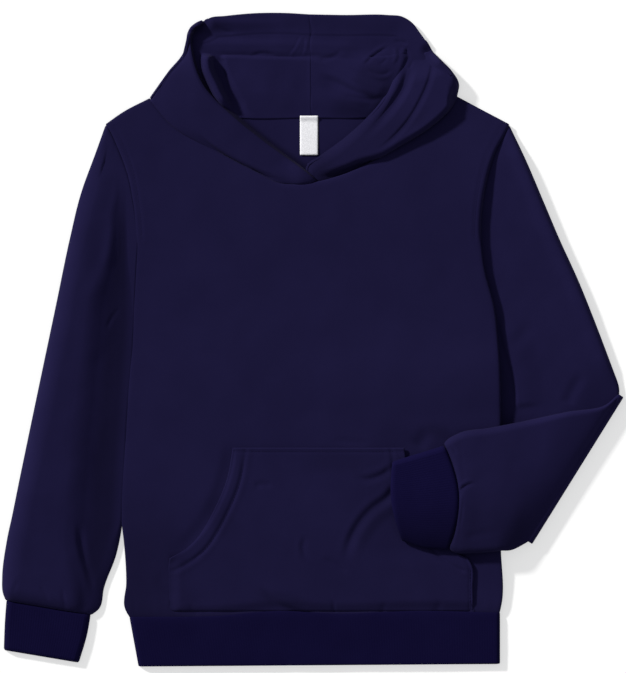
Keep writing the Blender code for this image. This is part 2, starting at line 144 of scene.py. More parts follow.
def crowded(count, length, steps=edgeSteps):
    # shares from 0 to 1 that lie close together at both ends, where an edge is rounded
    close = np.array(steps) / length
    middle = np.linspace(close[-1], 1 - close[-1], count)
    return np.concatenate([[0.0], close[:-1], middle, 1 - close[-2::-1], [1.0]])


def beside(plan, line):
    # distance of each plan point from a line, positive on its right, and the share of the line there
    flat = plan.reshape(-1, 2)
    best = np.full(len(flat), 1e9)
    side = np.ones(len(flat))
    share = np.zeros(len(flat))
    for i in range(len(line) - 1):
        step = line[i + 1] - line[i]
        offset = flat - line[i]
        t = np.clip((offset @ step) / (step @ step), 0, 1)
        away = np.linalg.norm(offset - t[:, None] * step, axis=1)
        closer = away < best
        best[closer] = away[closer]
        share[closer] = (i + t[closer]) / (len(line) - 1)
        side[closer] = np.sign(offset[closer, 0] * step[1] - offset[closer, 1] * step[0])
    shape = plan.shape[:-1]
    return (best * side).reshape(shape), share.reshape(shape)


def near(plan, line):
    return np.abs(beside(plan, line)[0])


def folded(plan, folds):
    # height that soft folds add
    z = np.zeros(plan.shape[:-1])
    for fold in folds:
        distance, share = beside(plan, drawn(fold.line, 36))
        start, end = fold.fades
        strength = ease(0, start, share) if start else 1.0
        if end:
            strength = strength * ease(1, 1 - end, share)
        z += stepped(distance, fold.section) * strength
    return z


def groove(depth, width):
    return [(-width, 0), (0, -depth), (width, 0)]


def uneven(plan, size, seed):
    # soft hills and hollows about size across, from -1 to 1
    flat = plan.reshape(-1, 2) / size
    values = [noise.noise(Vector((x, y, seed))) for x, y in flat]
    return 1.5 * np.array(values).reshape(plan.shape[:-1])


def crumpled(plan, folds, heights, seed):
    # folds and two sizes of unevenness along one row of points
    coarse, fine = heights
    z = folded(plan[None], folds)[0]
    return z + coarse * uneven(plan, 34.0, seed) + fine * uneven(plan, 12.0, seed + 1)


def stack(plan, z):
    return np.concatenate([plan, z[..., None]], axis=-1)


def ends(row):
    # the two ends of a table's row of four numbers and more
    return np.array(row[:2]), np.array(row[2:4])


def widthOf(row):
    first, last = ends(row)
    return np.linalg.norm(last - first)


def moreRows(table, count):
    values = along([list(row) for row in table], np.linspace(0, 1, count))
    return [type(table[0])(*row) for row in values]


def bowedRow(row, share):
    # points from one end of a row to the other, bowed aside in the middle
    first, last = ends(row)
    aside = np.array([last[1] - first[1], first[0] - last[0]]) / widthOf(row)
    return first + (last - first) * share[:, None] - aside * row.bow * np.sin(math.pi * share)[:, None]


def tubeLoop(over, under, overFirst=True):
    # a closed loop of two layers that meet at both sides
    over[[0, -1]] = under[[0, -1]]
    first, second = (over, under) if overFirst else (under, over)
    return np.concatenate([first, second[-2:0:-1]])


def leftOf(line, *spacing):
    # directions to the left of a line
    run = np.gradient(line, *spacing, axis=0)
    aside = np.stack([-run[:, 1], run[:, 0]], axis=-1)
    return aside / np.linalg.norm(aside, axis=1, keepdims=True)


def insetLine(line, distance):
    # the line moved to its left, for stitching that runs beside a seam
    return line + distance * leftOf(line)


# materials

def newGroup(name, inputs, output, kind):
    # a shader node group, its given values by name and the input of its result
    group = bpy.data.node_groups.new(name, "ShaderNodeTree")
    for title, value in inputs.items():
        sort = "NodeSocketColor" if isinstance(value, tuple) else "NodeSocketFloat"
        group.interface.new_socket(title, in_out="INPUT", socket_type=sort).default_value = value
    group.interface.new_socket(output, in_out="OUTPUT", socket_type=kind)
    given = group.nodes.new("NodeGroupInput").outputs
    return group, given, group.nodes.new("NodeGroupOutput").inputs[output]


def setInputs(node, values):
    for key, value in values.items():
        node.inputs[key].default_value = value


def addNode(tree, kind, inputs, output, operation=None, dataType=None):
    # returns one output of a new node; an input is a value or the output that is linked to it
    node = tree.nodes.new("ShaderNode" + kind)
    if operation:
        node.operation = operation
    if dataType:
        node.data_type = dataType
    for key, value in inputs.items():
        if isinstance(value, bpy.types.NodeSocket):
            tree.links.new(value, node.inputs[key])
        else:
            node.inputs[key].default_value = value
    return node.outputs[output]


def makeToneGroup():
    # two depths of dye in clouds, with a finer heather of fibres, scaled by one minus a painted shade input:
    # positive values paint shade, negative ones paint light
    group, given, result = newGroup(
        "dyedToneAndPaintedShade", {"Dark": (0, 0, 0, 1), "Light": (1, 1, 1, 1), "Cloud": 26.0, "Fibre": 900.0,
                     "Heather": 0.35, "NapAndPaintedShade": 0.0}, "Color", "NodeSocketColor")
    place = addNode(group, "TexCoord", {}, "Object")
    cloud = addNode(group, "TexNoise", {"Vector": place, "Scale": given["Cloud"], "Detail": 3.0}, "Fac")
    fibre = addNode(group, "TexNoise", {"Vector": place, "Scale": given["Fibre"], "Detail": 2.0}, "Fac")
    blend = addNode(group, "Mix", {"Factor": given["Heather"], "A": cloud, "B": fibre}, "Result")
    spread = addNode(group, "MapRange", {"Value": blend, "From Min": 0.3, "From Max": 0.7}, "Result")
    tones = {"Factor": spread, "A": given["Dark"], "B": given["Light"]}
    tone = addNode(group, "Mix", tones, "Result", dataType="RGBA")
    # painted shade: the dyed colour is multiplied by one minus the painted shade input
    kept = addNode(group, "Math", {0: 1.0, 1: given["NapAndPaintedShade"]}, "Value", "SUBTRACT")
    shaded = addNode(group, "VectorMath", {0: tone, "Scale": kept}, "Vector", "SCALE")
    group.links.new(shaded, result)
    return group


def makeKnitGroup():
    # relief of a knit: wales across X, rows along Y, and loose nap over both
    group, given, result = newGroup(
        "knitRelief", {"Wale": 0.9, "NapAndPaintedShade": 1500.0, "Nap Share": 0.5}, "Height", "NodeSocketFloat")
    place = addNode(group, "TexCoord", {}, "Object")
    split = addNode(group, "SeparateXYZ", {"Vector": place}, "X").node.outputs
    # radians for each metre
    turn = addNode(group, "Math", {0: 2000 * math.pi, 1: given["Wale"]}, "Value", "DIVIDE")
    waves = []
    for axis, pace in (("X", 1.0), ("Y", 1.35)):
        scaled = addNode(group, "Math", {0: split[axis], 1: turn}, "Value", "MULTIPLY")
        faster = addNode(group, "Math", {0: scaled, 1: pace}, "Value", "MULTIPLY")
        waves.append(addNode(group, "Math", {0: faster}, "Value", "SINE"))
    loops = addNode(group, "Math", {0: waves[0], 1: waves[1], 2: 0.5}, "Value", "MULTIPLY_ADD")
    napAndPaintedShade = addNode(group, "TexNoise", {"Vector": place, "Scale": given["NapAndPaintedShade"], "Detail": 3.0}, "Fac")
    blend = addNode(group, "Mix", {"Factor": given["Nap Share"], "A": loops, "B": napAndPaintedShade}, "Result")
    group.links.new(blend, result)
    return group


toneGroup = makeToneGroup()
knitGroup = makeKnitGroup()

finishes = {
    "fleeceNavy": {"dark": (0.0068, 0.0055, 0.0274), "light": (0.0082, 0.0067, 0.0321), "sheen": 0.035,
                   "wale": 0.95, "napAndPaintedShade": 1300, "napShare": 0.75, "bump": 0.3, "depth": 0.0002},
    "ribNavy": {"dark": (0.0028, 0.0019, 0.0183), "light": (0.0034, 0.0025, 0.0214), "sheen": 0.015,
                "wale": 0.6, "napAndPaintedShade": 1800, "napShare": 0.6, "bump": 0.25, "depth": 0.00015},
    "threadNavy": {"dark": (0.0065, 0.0053, 0.0255), "light": (0.0095, 0.0079, 0.0342), "sheen": 0.04,
                   "wale": 0.25, "napAndPaintedShade": 3000, "napShare": 0.3, "bump": 0.4, "depth": 0.0001},
    "tapeWhite": {"dark": (0.66, 0.66, 0.69), "light": (0.73, 0.73, 0.76), "sheen": 0.0,
                  "wale": 0.5, "napAndPaintedShade": 2500, "napShare": 0.2, "bump": 0.35, "depth": 0.0001},
}
sheenTint = (0.45, 0.42, 0.75, 1.0)


def makeMaterial(name):
    finish = finishes[name]
    material = bpy.data.materials.new(name)
    material.use_nodes = True
    material.diffuse_color = (*finish["light"], 1)
    tree = material.node_tree
    shader = tree.nodes["Principled BSDF"]
    setInputs(shader, {"Roughness": 0.92, "Specular IOR Level": 0.03, "Sheen Weight": finish["sheen"],
                       "Sheen Roughness": 0.45, "Sheen Tint": sheenTint})
    tone, knit = (tree.nodes.new("ShaderNodeGroup") for k in range(2))
    tone.node_tree, knit.node_tree = toneGroup, knitGroup
    setInputs(tone, {"Dark": (*finish["dark"], 1), "Light": (*finish["light"], 1)})
    setInputs(knit, {"Wale": finish["wale"], "NapAndPaintedShade": finish["napAndPaintedShade"], "Nap Share": finish["napShare"]})
    # reads the per-point painted shade attribute into the tone group
    napAndPaintedShade = tree.nodes.new("ShaderNodeAttribute")
    napAndPaintedShade.attribute_name = "napAndPaintedShade"
    tree.links.new(napAndPaintedShade.outputs["Fac"], tone.inputs["NapAndPaintedShade"])
    tree.links.new(tone.outputs["Color"], shader.inputs["Base Color"])
    relief = {"Height": knit.outputs["Height"], "Strength": finish["bump"], "Distance": finish["depth"]}
    tree.links.new(addNode(tree, "Bump", relief, "Normal"), shader.inputs["Normal"])
    return material


materials = {name: makeMaterial(name) for name in finishes}
print("materials made:", ", ".join(materials))


# cloth with a wall

def edgeDistance(grid, wraps):
    # distance from the nearest cut edge; a grid that wraps has cut edges at its two ends only
    down = np.linalg.norm(np.diff(grid, axis=0), axis=-1)
    fromTop = np.concatenate([np.zeros((1, grid.shape[1])), np.cumsum(down, axis=0)])
    distance = np.minimum(fromTop, fromTop[-1] - fromTop)
    if not wraps:
        across = np.linalg.norm(np.diff(grid, axis=1), axis=-1)
        fromSide = np.concatenate([np.zeros((len(grid), 1)), np.cumsum(across, axis=1)], axis=1)
        distance = np.minimum(distance, np.minimum(fromSide, fromSide[:, -1:] - fromSide))
    return distance


def newObject(name, data):
    made = bpy.data.objects.new(name, data)
    bpy.context.scene.collection.objects.link(made)
    return made


def newPiece(name, points, faces, finish):
    # a smooth mesh of points in mm
    mesh = bpy.data.meshes.new(name)
    mesh.from_pydata((np.array(points) * mm).tolist(), [], faces)
    mesh.shade_smooth()
    mesh.materials.append(materials[finish])
    return newObject(name, mesh)


def makeCloth(name, grid, finish, wall=cloth["wall"], wraps=False, napAndPaintedShade=None):
    # grid is the middle of the cloth, in mm; Solidify gives it its wall, rounded at the cut edges
    rows, columns = grid.shape[:2]
    index = np.arange(rows * columns).reshape(rows, columns)
    if wraps:
        index = np.concatenate([index, index[:, :1]], axis=1)
    quads = np.stack([index[:-1, :-1], index[1:, :-1], index[1:, 1:], index[:-1, 1:]], axis=-1)
    piece = newPiece(name, grid.reshape(-1, 3), quads.reshape(-1, 4).tolist(), finish)
    # painted shade for each point: the colour is darkened by this share, and lightened where it is negative
    if napAndPaintedShade is not None:
        tone = piece.data.attributes.new("napAndPaintedShade", "FLOAT", "POINT")
        tone.data.foreach_set("value", napAndPaintedShade.ravel().astype(np.float32))
    share = hill(edgeDistance(grid, wraps).ravel(), wall / 2).round(2)
    group = piece.vertex_groups.new(name="wall")
    for level in np.unique(share):
        group.add(np.nonzero(share == level)[0].tolist(), max(float(level), 0.15), "REPLACE")
    solid = piece.modifiers.new("wall", "SOLIDIFY")
    solid.thickness = wall * mm
    solid.offset = 0
    solid.vertex_group = "wall"
    solid.thickness_vertex_group = 0
    bpy.ops.object.select_all(action="DESELECT")
    bpy.context.view_layer.objects.active = piece
    piece.select_set(True)
    bpy.ops.object.modifier_apply(modifier="wall")
    piece.vertex_groups.clear()
    piece.select_set(False)
    size = sum(p.area for p in piece.data.polygons) / 2
    print(f"{name} made, {len(piece.data.polygons) * 2} triangles, {size:.4f} square metres")
    return piece


def declare(piece, node):
    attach(piece, "root")
    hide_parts(node)


# stitches

stitch = {
    "pitch": 2.8,
    "length": 2.1,
    "thick": 0.42,
    "rings": ((-0.5, 0.35), (-0.3, 1.0), (0.3, 1.0), (0.5, 0.35)),      # share of length, share of width
    "sides": 6,
    "sink": 0.12,           # of its two ends
}


def onLine(at, stations, line):
    return np.array([np.interp(at, stations, line[:, k]) for k in (0, 1)])


def makeStitches(name, line, heights):
    # one short rounded thread for each stitch along a line on the cloth
    stations = stationsOf(line)
    points, faces = [], []
    pitch, radius = stitch["pitch"], stitch["thick"] / 2
    rings, sides = stitch["rings"], stitch["sides"]
    for at in np.arange(pitch / 2, stations[-1], pitch):
        middle = onLine(at, stations, line)
        z = np.interp(at, stations, heights)
        ahead = onLine(at + 0.5, stations, line) - middle
        if np.linalg.norm(ahead) < 1e-6:
            continue
        ahead /= np.linalg.norm(ahead)
        side = np.array([-ahead[1], ahead[0]])
        base = len(points)
        for place, size in rings:
            for k in range(sides):
                turn = 2 * math.pi * k / sides
                spot = middle + ahead * place * stitch["length"] + side * math.cos(turn) * radius * size
                low = stitch["sink"] if abs(place) > 0.4 else 0
                points.append((*spot, z + math.sin(turn) * radius * size - low))
        for r in range(len(rings) - 1):
            for k in range(sides):
                a, b = base + r * sides + k, base + r * sides + (k + 1) % sides
                faces.append((a, b, b + sides, a + sides))
        faces.append([base + k for k in range(sides)][::-1])
        faces.append([base + (len(rings) - 1) * sides + k for k in range(sides)])
    piece = newPiece(name, points, faces, "threadNavy")
    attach(piece, "root")


# the body

body = {
    # how far the left side rides up over the sleeve, and at which y
    "lift": [(0, 190), (5.6, 128), (6.2, 60), (6.8, 25), (8.4, -2), (10.2, -24), (10.0, -42), (7.6, -64),
             (6.4, -84), (5.6, -130), (4.7, -165), (0, -230)],
    "overSleeve": 4.7,          # the back panel's height where it lies on the sleeve
    "backRows": (80.0, 60.0, -150.0, -172.0),       # the y between which it does so, with a run at each end
    "belly": 1.3,               # the air under the middle of the front
    "pressed": 1.4,             # how far the forearm pushes it in
    "uneven": ((55.0, 0.35), (17.0, 0.10)),     # size and height of its soft hills
    "topstitch": 5.0,           # distance of the armhole stitching from the seam
    "neckPaintedShade": 0.5,             # painted shade on the back beside the hood's right rim
    "pocketSink": 2.25,         # how far the front sinks under the pocket's sewn side and foot
}
rightSide = [(-173, 180.4), (-170.5, 176.6), (-163, 160.7), (-155.4, 140.5), (-151.2, 119.5), (-147.8, 83.4),
    (-149.9, 33), (-151.6, -4.8), (-154.1, -39.3), (-158.3, -97.2), (-160, -150.2), (-157.5, -172.8),
    (-155.8, -205), (-157, -226), (-152.5, -234.1)]
leftSide = [(165.1, 180.4), (162.6, 174.9), (152.5, 155.2), (145.3, 130), (141.1, 93.9), (143.6, 61.5),
    (152.5, 25.4), (155.4, -3.2), (157.9, -72), (158.3, -176), (159, -222), (157.1, -230.5)]
rightShoulder = [(-173, 180.4), (-157.9, 190.9), (-136.9, 201.8)]
leftShoulder = [(121.8, 203.5), (145.3, 190.9), (165.1, 180.4)]
frontNeck = [(-136.9, 201.8), (-117.6, 180), (-78.1, 156.5), (-47.9, 140.5), (-26.9, 130.6), (-10, 129.8),
    (6.7, 132.4), (27.7, 138.4), (48.7, 148), (73.9, 162.4), (99.1, 178.4), (115.9, 194.4), (121.8, 203.5)]
backNeck = [(-136.9, 201.8), (-106.7, 194.2), (-67.2, 187.1), (-2.1, 186.7), (48.7, 187.1), (92, 194.2),
    (121.8, 203.5)]
hemSeam = [(-152.5, -234.1), (-80.6, -233.3), (-26.9, -229.1), (18.5, -231.4), (89, -229.1), (157.1, -230.5)]
neckMiddle = 0.527              # share of the neckline where the halves of the hood meet
neckEnds = (0.107, 0.872)       # shares of the body's width where the neck begins and ends
armholeFoot = 84.0              # y of the lower end of the armholes

frontFolds = [      # they go through the front and the pocket on it
    Fold([(-42, -204.8), (-28.6, -217.3), (-13.4, -224.9), (3.4, -229.1)], [(-7, 0), (-1, 0.35), (3.5, -1.0),
         (9, 0)], (0.35, 0.15)),
    Fold([(-5, -162.8), (-7.6, -175.3), (-3.4, -187.1)], [(-5, 0), (0, -0.55), (4, 0.2), (8, 0)], (0.4, 0.4)),
    Fold([(8.4, -182.1), (18.5, -187.9), (31.9, -197.2)], groove(0.5, 4)),
    Fold([(75.6, -121.6), (65.5, -135), (52.1, -145.1), (42, -156.9), (33.6, -175.3), (31.1, -190.5)],
         [(-12, 0), (-4, 0.5), (3.5, -1.5), (9, 0.2), (14, 0)], (0.15, 0.35)),
    Fold([(34.4, -113.2), (47, -114.9), (60.5, -109.8), (68.9, -103.1)], [(-7, 0), (-2, 0.4), (2, -0.9),
         (8, 0)], (0.4, 0.3)),
    Fold([(-49.6, -124.1), (-42, -121.6), (-31.9, -123.3)], groove(0.6, 4.5), (0.3, 0.35)),
    Fold([(17.6, -217.3), (18.5, -228.3)], groove(0.6, 2), (0.4, 0.1)),
    Fold([(88.2, -91.3), (94.1, -82.1), (99.1, -72)], groove(0.8, 9), (0.1, 0.4)),
    Fold([(-131, -195.5), (-122.6, -208.9), (-112.6, -219)], groove(0.6, 8)),
    Fold([(-104.2, -220.7), (-97.4, -229.9)], groove(0.5, 4), (0.5, 0)),
    Fold([(62.2, -219), (58.8, -229.1)], groove(0.4, 4), (0.5, 0)),
    Fold([(109.2, -217.3), (104.2, -228.3)], groove(0.4, 5), (0.5, 0)),
    Fold([(15.1, -84.6), (33.6, -85.9), (50.4, -87.1)], groove(0.5, 3)),
    # the front sinks in front of the pocket's openings
    Fold([(-119.3, -182.1), (-109.2, -176.2), (-95.8, -163.6), (-82.3, -143.4), (-73.1, -122.4), (-68, -103.1),
         (-66.4, -84.6)], [(-11, 0), (-1.5, -1.1), (1.5, -1.1), (4, 0)], (0.2, 0.15)),
]
frontPaintedShade = [      # painted shade: soft darker places on the front and the pocket, as (distance, darkening)
    Fold([(-136.1, -118.2), (-134.4, -177), (-127.7, -225.8)], [(-38, 0), (-12, 0.17), (12, 0.22)], (0.6, 0)),
    Fold([(-13.4, -103.1), (27.7, -102.3), (61.3, -109.8)], [(-14, 0), (-3, 0.12), (3, 0.12), (14, 0)]),
    Fold([(-85.7, -126.6), (-75.6, -151.8), (-60.5, -168.6)], [(-14, 0), (-3, 0.1), (3, 0.1), (14, 0)]),
    Fold([(67.2, -135), (50.4, -151.8), (35.3, -177)], [(-12, 0), (-2, 0.16), (4, 0.16), (14, 0)]),
    Fold([(-52.1, -212.3), (-22.7, -219), (6.7, -229.1)], [(-9, 0), (-2, 0.14), (3, 0.14), (10, 0)]),
    Fold([(94.9, -72), (107.5, -77.9), (117.6, -76.2)], [(-10, 0), (0, 0.15), (10, 0)]),
]


def leftLift(y):
    return atHeight(body["lift"], y)[..., 0]


def backUnder(plan):
    # the back lies on the sleeve and turns up to the front at its very edge
    x, y = plan[..., 0], plan[..., 1]
    fromLeft = np.maximum(atHeight(leftSide, y)[..., 0] - x, 0)
    start, full, end, gone = body["backRows"]
    low = np.minimum(leftLift(y), body["overSleeve"])
    lift = low * ease(20, 10, fromLeft) + (leftLift(y) - low) * (1 - hill(fromLeft, 3.5))
    return lift * ease(start, full, y) * ease(gone, end, y)


def frontUnder(plan):
    # the front rises from the right side to the left one
    x, y = plan[..., 0], plan[..., 1]
    left, right = atHeight(leftSide, y)[..., 0], atHeight(rightSide, y)[..., 0]
    share = np.clip((x - right) / (left - right), 0, 1)
    air = 4 * share * (1 - share) * body["belly"] * ease(190, 128, y) * ease(-230, -165, y)
    dent = ease(45, 75, x) * ease(148, 132, x) * ease(-70, -92, y) * ease(-192, -174, y)
    return pressed + leftLift(y) * share + air - body["pressed"] * dent


def frontTop(plan):
    # the front's upper face, with its folds, which the pocket lies on
    z = frontUnder(plan) + layer + folded(plan, frontFolds)
    for k, (size, height) in enumerate(body["uneven"]):
        z = z + height * uneven(plan, size, 3.1 + k)
    return z


def pocketSink(plan):
    # the pocket's left side and foot are sewn down flush with the front
    x, y = plan[..., 0], plan[..., 1]
    side = ease(-181, -189, y) * ease(-109.5, -119.5, x)
    foot = ease(11, 1.5, near(plan, drawn(hemSeam, 120)))
    return body["pocketSink"] * np.maximum(side, foot)


def bodyPlan(neck, rows, columns):
    first, last = neckEnds
    v = crowded(rows, 414)
    inner = np.linspace(first, last, columns)
    outer = np.array([0, *edgeSteps]) / 310
    right = np.concatenate([outer, np.linspace(outer[-1], first, 22)[1:-1]])
    left = np.concatenate([np.linspace(last, 1 - outer[-1], 24)[1:], 1 - outer[-2::-1]])
    u = np.concatenate([right, inner, left])
    top = np.concatenate([
        along(rightShoulder, right / first),
        along(neck, np.linspace(0, 1, columns)),
        along(leftShoulder, (left - last) / (1 - last))])
    sides = []
    for side in (rightSide, leftSide):
        y = side[0][1] + (side[-1][1] - side[0][1]) * v
        sides.append(atHeight(side, y))
    return patch(top, along(hemSeam, u), sides[0], sides[1], u, v)


def armholeLine(side):
    return atHeight(side, np.linspace(side[0][1], armholeFoot, 60))


def makeBody():
    sides = [atHeight(side, np.linspace(side[0][1], side[-1][1], 200)) for side in (rightSide, leftSide)]
    plan = bodyPlan(frontNeck, 150, 150)
    x, y = plan[..., 0], plan[..., 1]
    z = frontTop(plan) - half
    for line, dip in ((sides[0], 0.7), (sides[1], 0.9), (drawn(hemSeam, 160), 1.0),
                      (drawn(frontNeck, 160), 1.4), (drawn(rightShoulder), 1.0), (drawn(leftShoulder), 1.0)):
        z -= dip * (1 - hill(near(plan, line), cloth["seamReach"]))
    # it comes down steeply to the left armhole
    armhole = near(plan, armholeLine(leftSide))
    z -= (frontUnder(plan) - pressed) * (1 - hill(armhole, 1.7)) * ease(74, 92, y)
    z -= pocketSink(plan) * ease(-119.2, -116.6, x) * ease(133.8, 131.2, x) * ease(-229.5, -226.5, y)
    stitchLines = []
    for side, sign in ((rightSide, 1), (leftSide, -1)):
        line = insetLine(armholeLine(side), sign * body["topstitch"])
        stitchLines.append(line)
        distance = near(plan, line)
        z -= 0.25 * ridge(distance, 0, 1.1)
        z += 0.12 * ridge(distance, 2.7, 1.8) * ease(70, 90, y)
    # the cloth puffs up above the waistband's seam
    fromHem = near(plan, drawn(hemSeam, 160))
    gather = np.abs(uneven(plan * np.array([1.0, 0.25]), 9.0, 8.2))
    z += ease(22, 7, fromHem) * ease(1.5, 6, fromHem) * (0.25 + 0.4 * gather)
    # the front is painted darker in its listed shade places
    front = makeCloth("frontCloth", stack(plan, z), "fleeceNavy", napAndPaintedShade=folded(plan, frontPaintedShade))
    declare(front, "front_panel")
    for name, line in zip(("armholeStitchRight", "armholeStitchLeft"), stitchLines):
        makeStitches(name, line, frontTop(line[None])[0] - 0.3)

    plan = bodyPlan(backNeck, 110, 90)
    # painted shade on the back cloth within a few mm of the hood's right rim
    napAndPaintedShade = body["neckPaintedShade"] * ease(8, 3, near(plan, drawn(rightRim))) * ease(126, 142, plan[..., 1])
    back = makeCloth("backCloth", stack(plan, backUnder(plan) + half), "fleeceNavy", napAndPaintedShade=napAndPaintedShade)
    declare(back, "back_panel")


# the sleeves

sleeves = {
    "rows": {"right": 180, "left": 120, "forearm": 110},
    "across": 84,           # points across one layer
    "crest": 9.8,           # air under the right sleeve's crest
    "crestLess": {"cuff": 2.6, "shoulder": 2.0},        # how much less air there is at its ends
    "fallPaintedShade": 0.27,        # painted shade on its fall
    "leftRise": 3.4,        # how far the left one opens beside the body
    "ridge": (0.9, 1.2),    # height of its outer fold's ridge at the elbow, and how much more at the top
    "crownFall": (0.7, 3.2),        # how much the forearm falls to its lower edge, and how late
    "uneven": (0.35, 0.12),         # height of coarse and fine unevenness
    "unevenLeft": (0.25, 0.1),      # the same for the left upper arm
    # painted shade towards the foot of the forearm, and painted light (negative) at the elbow and above it
    "forearmPaintedShade": {"foot": 0.17, "elbow": -0.15, "top": -0.06},
}
SleeveRow = namedtuple("SleeveRow", "outerX outerY innerX innerY bow")
sleeveRight = [SleeveRow(*row) for row in ((-172.4, 180.4, -146.6, 83.0, 1.0), (-181.5, 155, -147.2, 70, 0.62),
    (-192.5, 125, -147.8, 56, 0.3), (-202.5, 85, -149.0, 25, 0.1), (-214, 30, -150.3, -6, 0),
    (-230, -46, -154.6, -62, 0), (-245.4, -120, -158.4, -128, 0), (-251.5, -150, -160.6, -159, 0),
    (-255.4, -168, -164.8, -179.5, 0), (-259.5, -200, -175.5, -209, 0), (-258.8, -213, -179.5, -226, 0),
    (-256.3, -219.5, -186.6, -231.6, 0))]
sleeveLeft = [SleeveRow(*row) for row in ((164.6, 180.4, 140.4, 84.6, 1.0), (179, 150, 141.2, 73, 0.62),
    (193.8, 115.3, 143, 60, 0.3), (207.5, 83, 143.2, 26, 0.1), (222.3, 50.6, 147.4, -2, 0),
    (236.6, 15.3, 148.6, -34, 0), (250.6, -21.6, 149.6, -66, 0), (256.6, -38, 150.2, -118, 0))]
elbow = {"outer": (261.2, -49.4), "inner": (185.3, -171.3), "turns": 22}
FoldRow = namedtuple("FoldRow", "upperX upperY lowerX lowerY floor height bow")
forearmFloor = 11.0     # height of the front and the pocket under it
forearm = [FoldRow(*row) for row in ((246, -56, 170, -175, 7.2, 3.0, 0),
    (214, -61.5, 158, -176.6, 10.8, 5.2, 0), (175, -69.8, 149, -177.6, 11.3, 6.8, 0),
    (148, -75, 133, -178.5, forearmFloor, 6.8, 2), (124, -79, 121.5, -178.5, forearmFloor, 6.4, 5),
    (113.5, -85, 117, -176.5, forearmFloor, 5.2, 9), (110.9, -88.2, 115, -174.8, forearmFloor, 3.2, 11))]
# the right sleeve is full from its outer edge to the crest and falls from there to the foot line
crestRight = [(-166.3, 150.6), (-166.3, 129.6), (-168, 117), (-171.4, 104.4), (-171.4, 91.8), (-173, 77.5),
    (-176.4, 64.9), (-184.8, 49.8), (-191.5, 33), (-194, 16.2), (-196.1, -4.8), (-199.1, -21.6),
    (-201.6, -46.8), (-204.1, -61.1), (-206.6, -76.2), (-207.1, -93), (-208.3, -109.8), (-210, -126.6),
    (-210.8, -143.4), (-211.7, -160.2), (-211.7, -177), (-209.6, -189.6), (-205.8, -206.4), (-203.3, -222.4)]
footRight = [(-155.4, 150.6), (-156.2, 129.6), (-156.2, 117), (-155.4, 91.8), (-154.6, 64.9), (-152, 41.4),
    (-150.8, 16.2), (-152, -9), (-154.1, -34.2), (-155, -61.1), (-157.5, -93), (-160, -126.6), (-162.1, -160.2),
    (-166.3, -177), (-171.4, -189.6), (-175.6, -206.4), (-178.9, -222.4)]
# a gentle slope before the crest
shoulderRight = [(-178.9, 133.8), (-184, 112.8), (-189.8, 87.6), (-193.2, 64.9), (-195.7, 41.4)]
rightFall = [(0, 0), (0.12, 0.03), (0.22, 0.12), (0.32, 0.27), (0.42, 0.45), (0.52, 0.6), (0.64, 0.73),
    (0.82, 0.88), (1, 1)]
rightSleeveFolds = [
    Fold([(-194.9, -150.2), (-192.4, -172.8), (-186.5, -193.8), (-178.9, -214)], [(-5, 0), (1.2, -1.2),
         (6, 0.3), (12, 0)], (0.3, 0.05)),
    Fold([(-160.4, 112.8), (-158.8, 87.6), (-158.8, 59.8)], groove(1.0, 3.5)),
    Fold([(-228.5, -206.4), (-221.8, -215.7)], groove(0.4, 3), (0.4, 0)),
    Fold([(-210, -208.9), (-206.6, -224.1)], groove(0.5, 3), (0.4, 0)),
    Fold([(-245.3, -200.5), (-250.3, -210.6)], groove(0.4, 3), (0.4, 0)),
    Fold([(-173, 7.8), (-168, 17.8), (-159.6, 27.9)], groove(0.5, 3), (0.3, 0.2)),
]
leftSleeveFolds = [
    Fold([(159.6, 22.9), (161.7, 6.1), (165.5, -10.7), (170.1, -25.8), (173, -40.9), (174.7, -57.8)], [(-24, 0),
         (-2, 1.5), (0.5, 1.5), (4.5, 0)], (0.25, 0.05)),
    Fold([(164.6, -10.7), (176.4, 3.6), (186.5, 17.8)], groove(0.5, 9), (0.3, 0.4)),
    Fold([(213.4, -54.4), (220.1, -40.9), (228.5, -27.5)], groove(0.9, 8), (0.1, 0.4)),
]
forearmFolds = [
    Fold([(121.8, -132.5), (124.3, -124.1), (131, -119.9), (137.8, -119.1)], [(-4, 0), (-0.8, 0.5), (1.2, -0.8),
         (5, 0)], (0.15, 0.35)),
    Fold([(126, -135), (125.2, -147.6), (122.6, -160.2)], groove(0.4, 2.5)),
    Fold([(112.6, -84.6), (117.6, -90.5), (121.8, -98.1)], groove(0.7, 2.5), (0.1, 0.4)),
    Fold([(126, -166.9), (141.1, -162.8), (162.1, -161.1)], groove(0.4, 6), (0.2, 0.5)),
]


def sleevePlan(row, armhole, stations, share):
    # the first rows follow the armhole's curve
    outer, inner = ends(row)
    straight = armhole[0] + (armhole[-1] - armhole[0]) * share[:, None]
    curved = onLine(share, stations, armhole).T - straight
    return outer + (inner - outer) * share[:, None] + row.bow * curved


def sleeveLoops(rows, side, apart):
    # closed loops of points, the upper layer from the outer fold inwards and then the lower one back
    armhole = armholeLine(side)
    stations = stationsOf(armhole)
    shares = [crowded(sleeves["across"], widthOf(row), (0.3, 0.8, 1.5, 2.4)) for row in rows]
    plans = [sleevePlan(row, armhole, stations / stations[-1], share) for row, share in zip(rows, shares)]
    fromSeam = stationsOf([plan[len(plan) // 2] for plan in plans])
    loops = []
    for row, share, plan, distance in zip(rows, shares, plans, fromSeam):
        width = widthOf(row)
        dip = 0.5 * (1 - hill(distance, cloth["seamReach"]))
        over = stack(plan, half + np.maximum(apart(plan, share * width, width) - dip, 0))
        loops.append(tubeLoop(over, stack(plan, np.full(len(plan), half))))
    return loops


def rightShare(plan):
    # 0 at the crest and 1 at the foot of the fall
    fromCrest = beside(plan, drawn(crestRight)[::-1])[0]
    toFoot = -beside(plan, drawn(footRight)[::-1])[0]
    share = fromCrest / np.maximum(fromCrest + toFoot, 0.1)
    return np.where(fromCrest <= 0, 0, np.where(toFoot <= 0, 1, np.clip(share, 0, 1)))


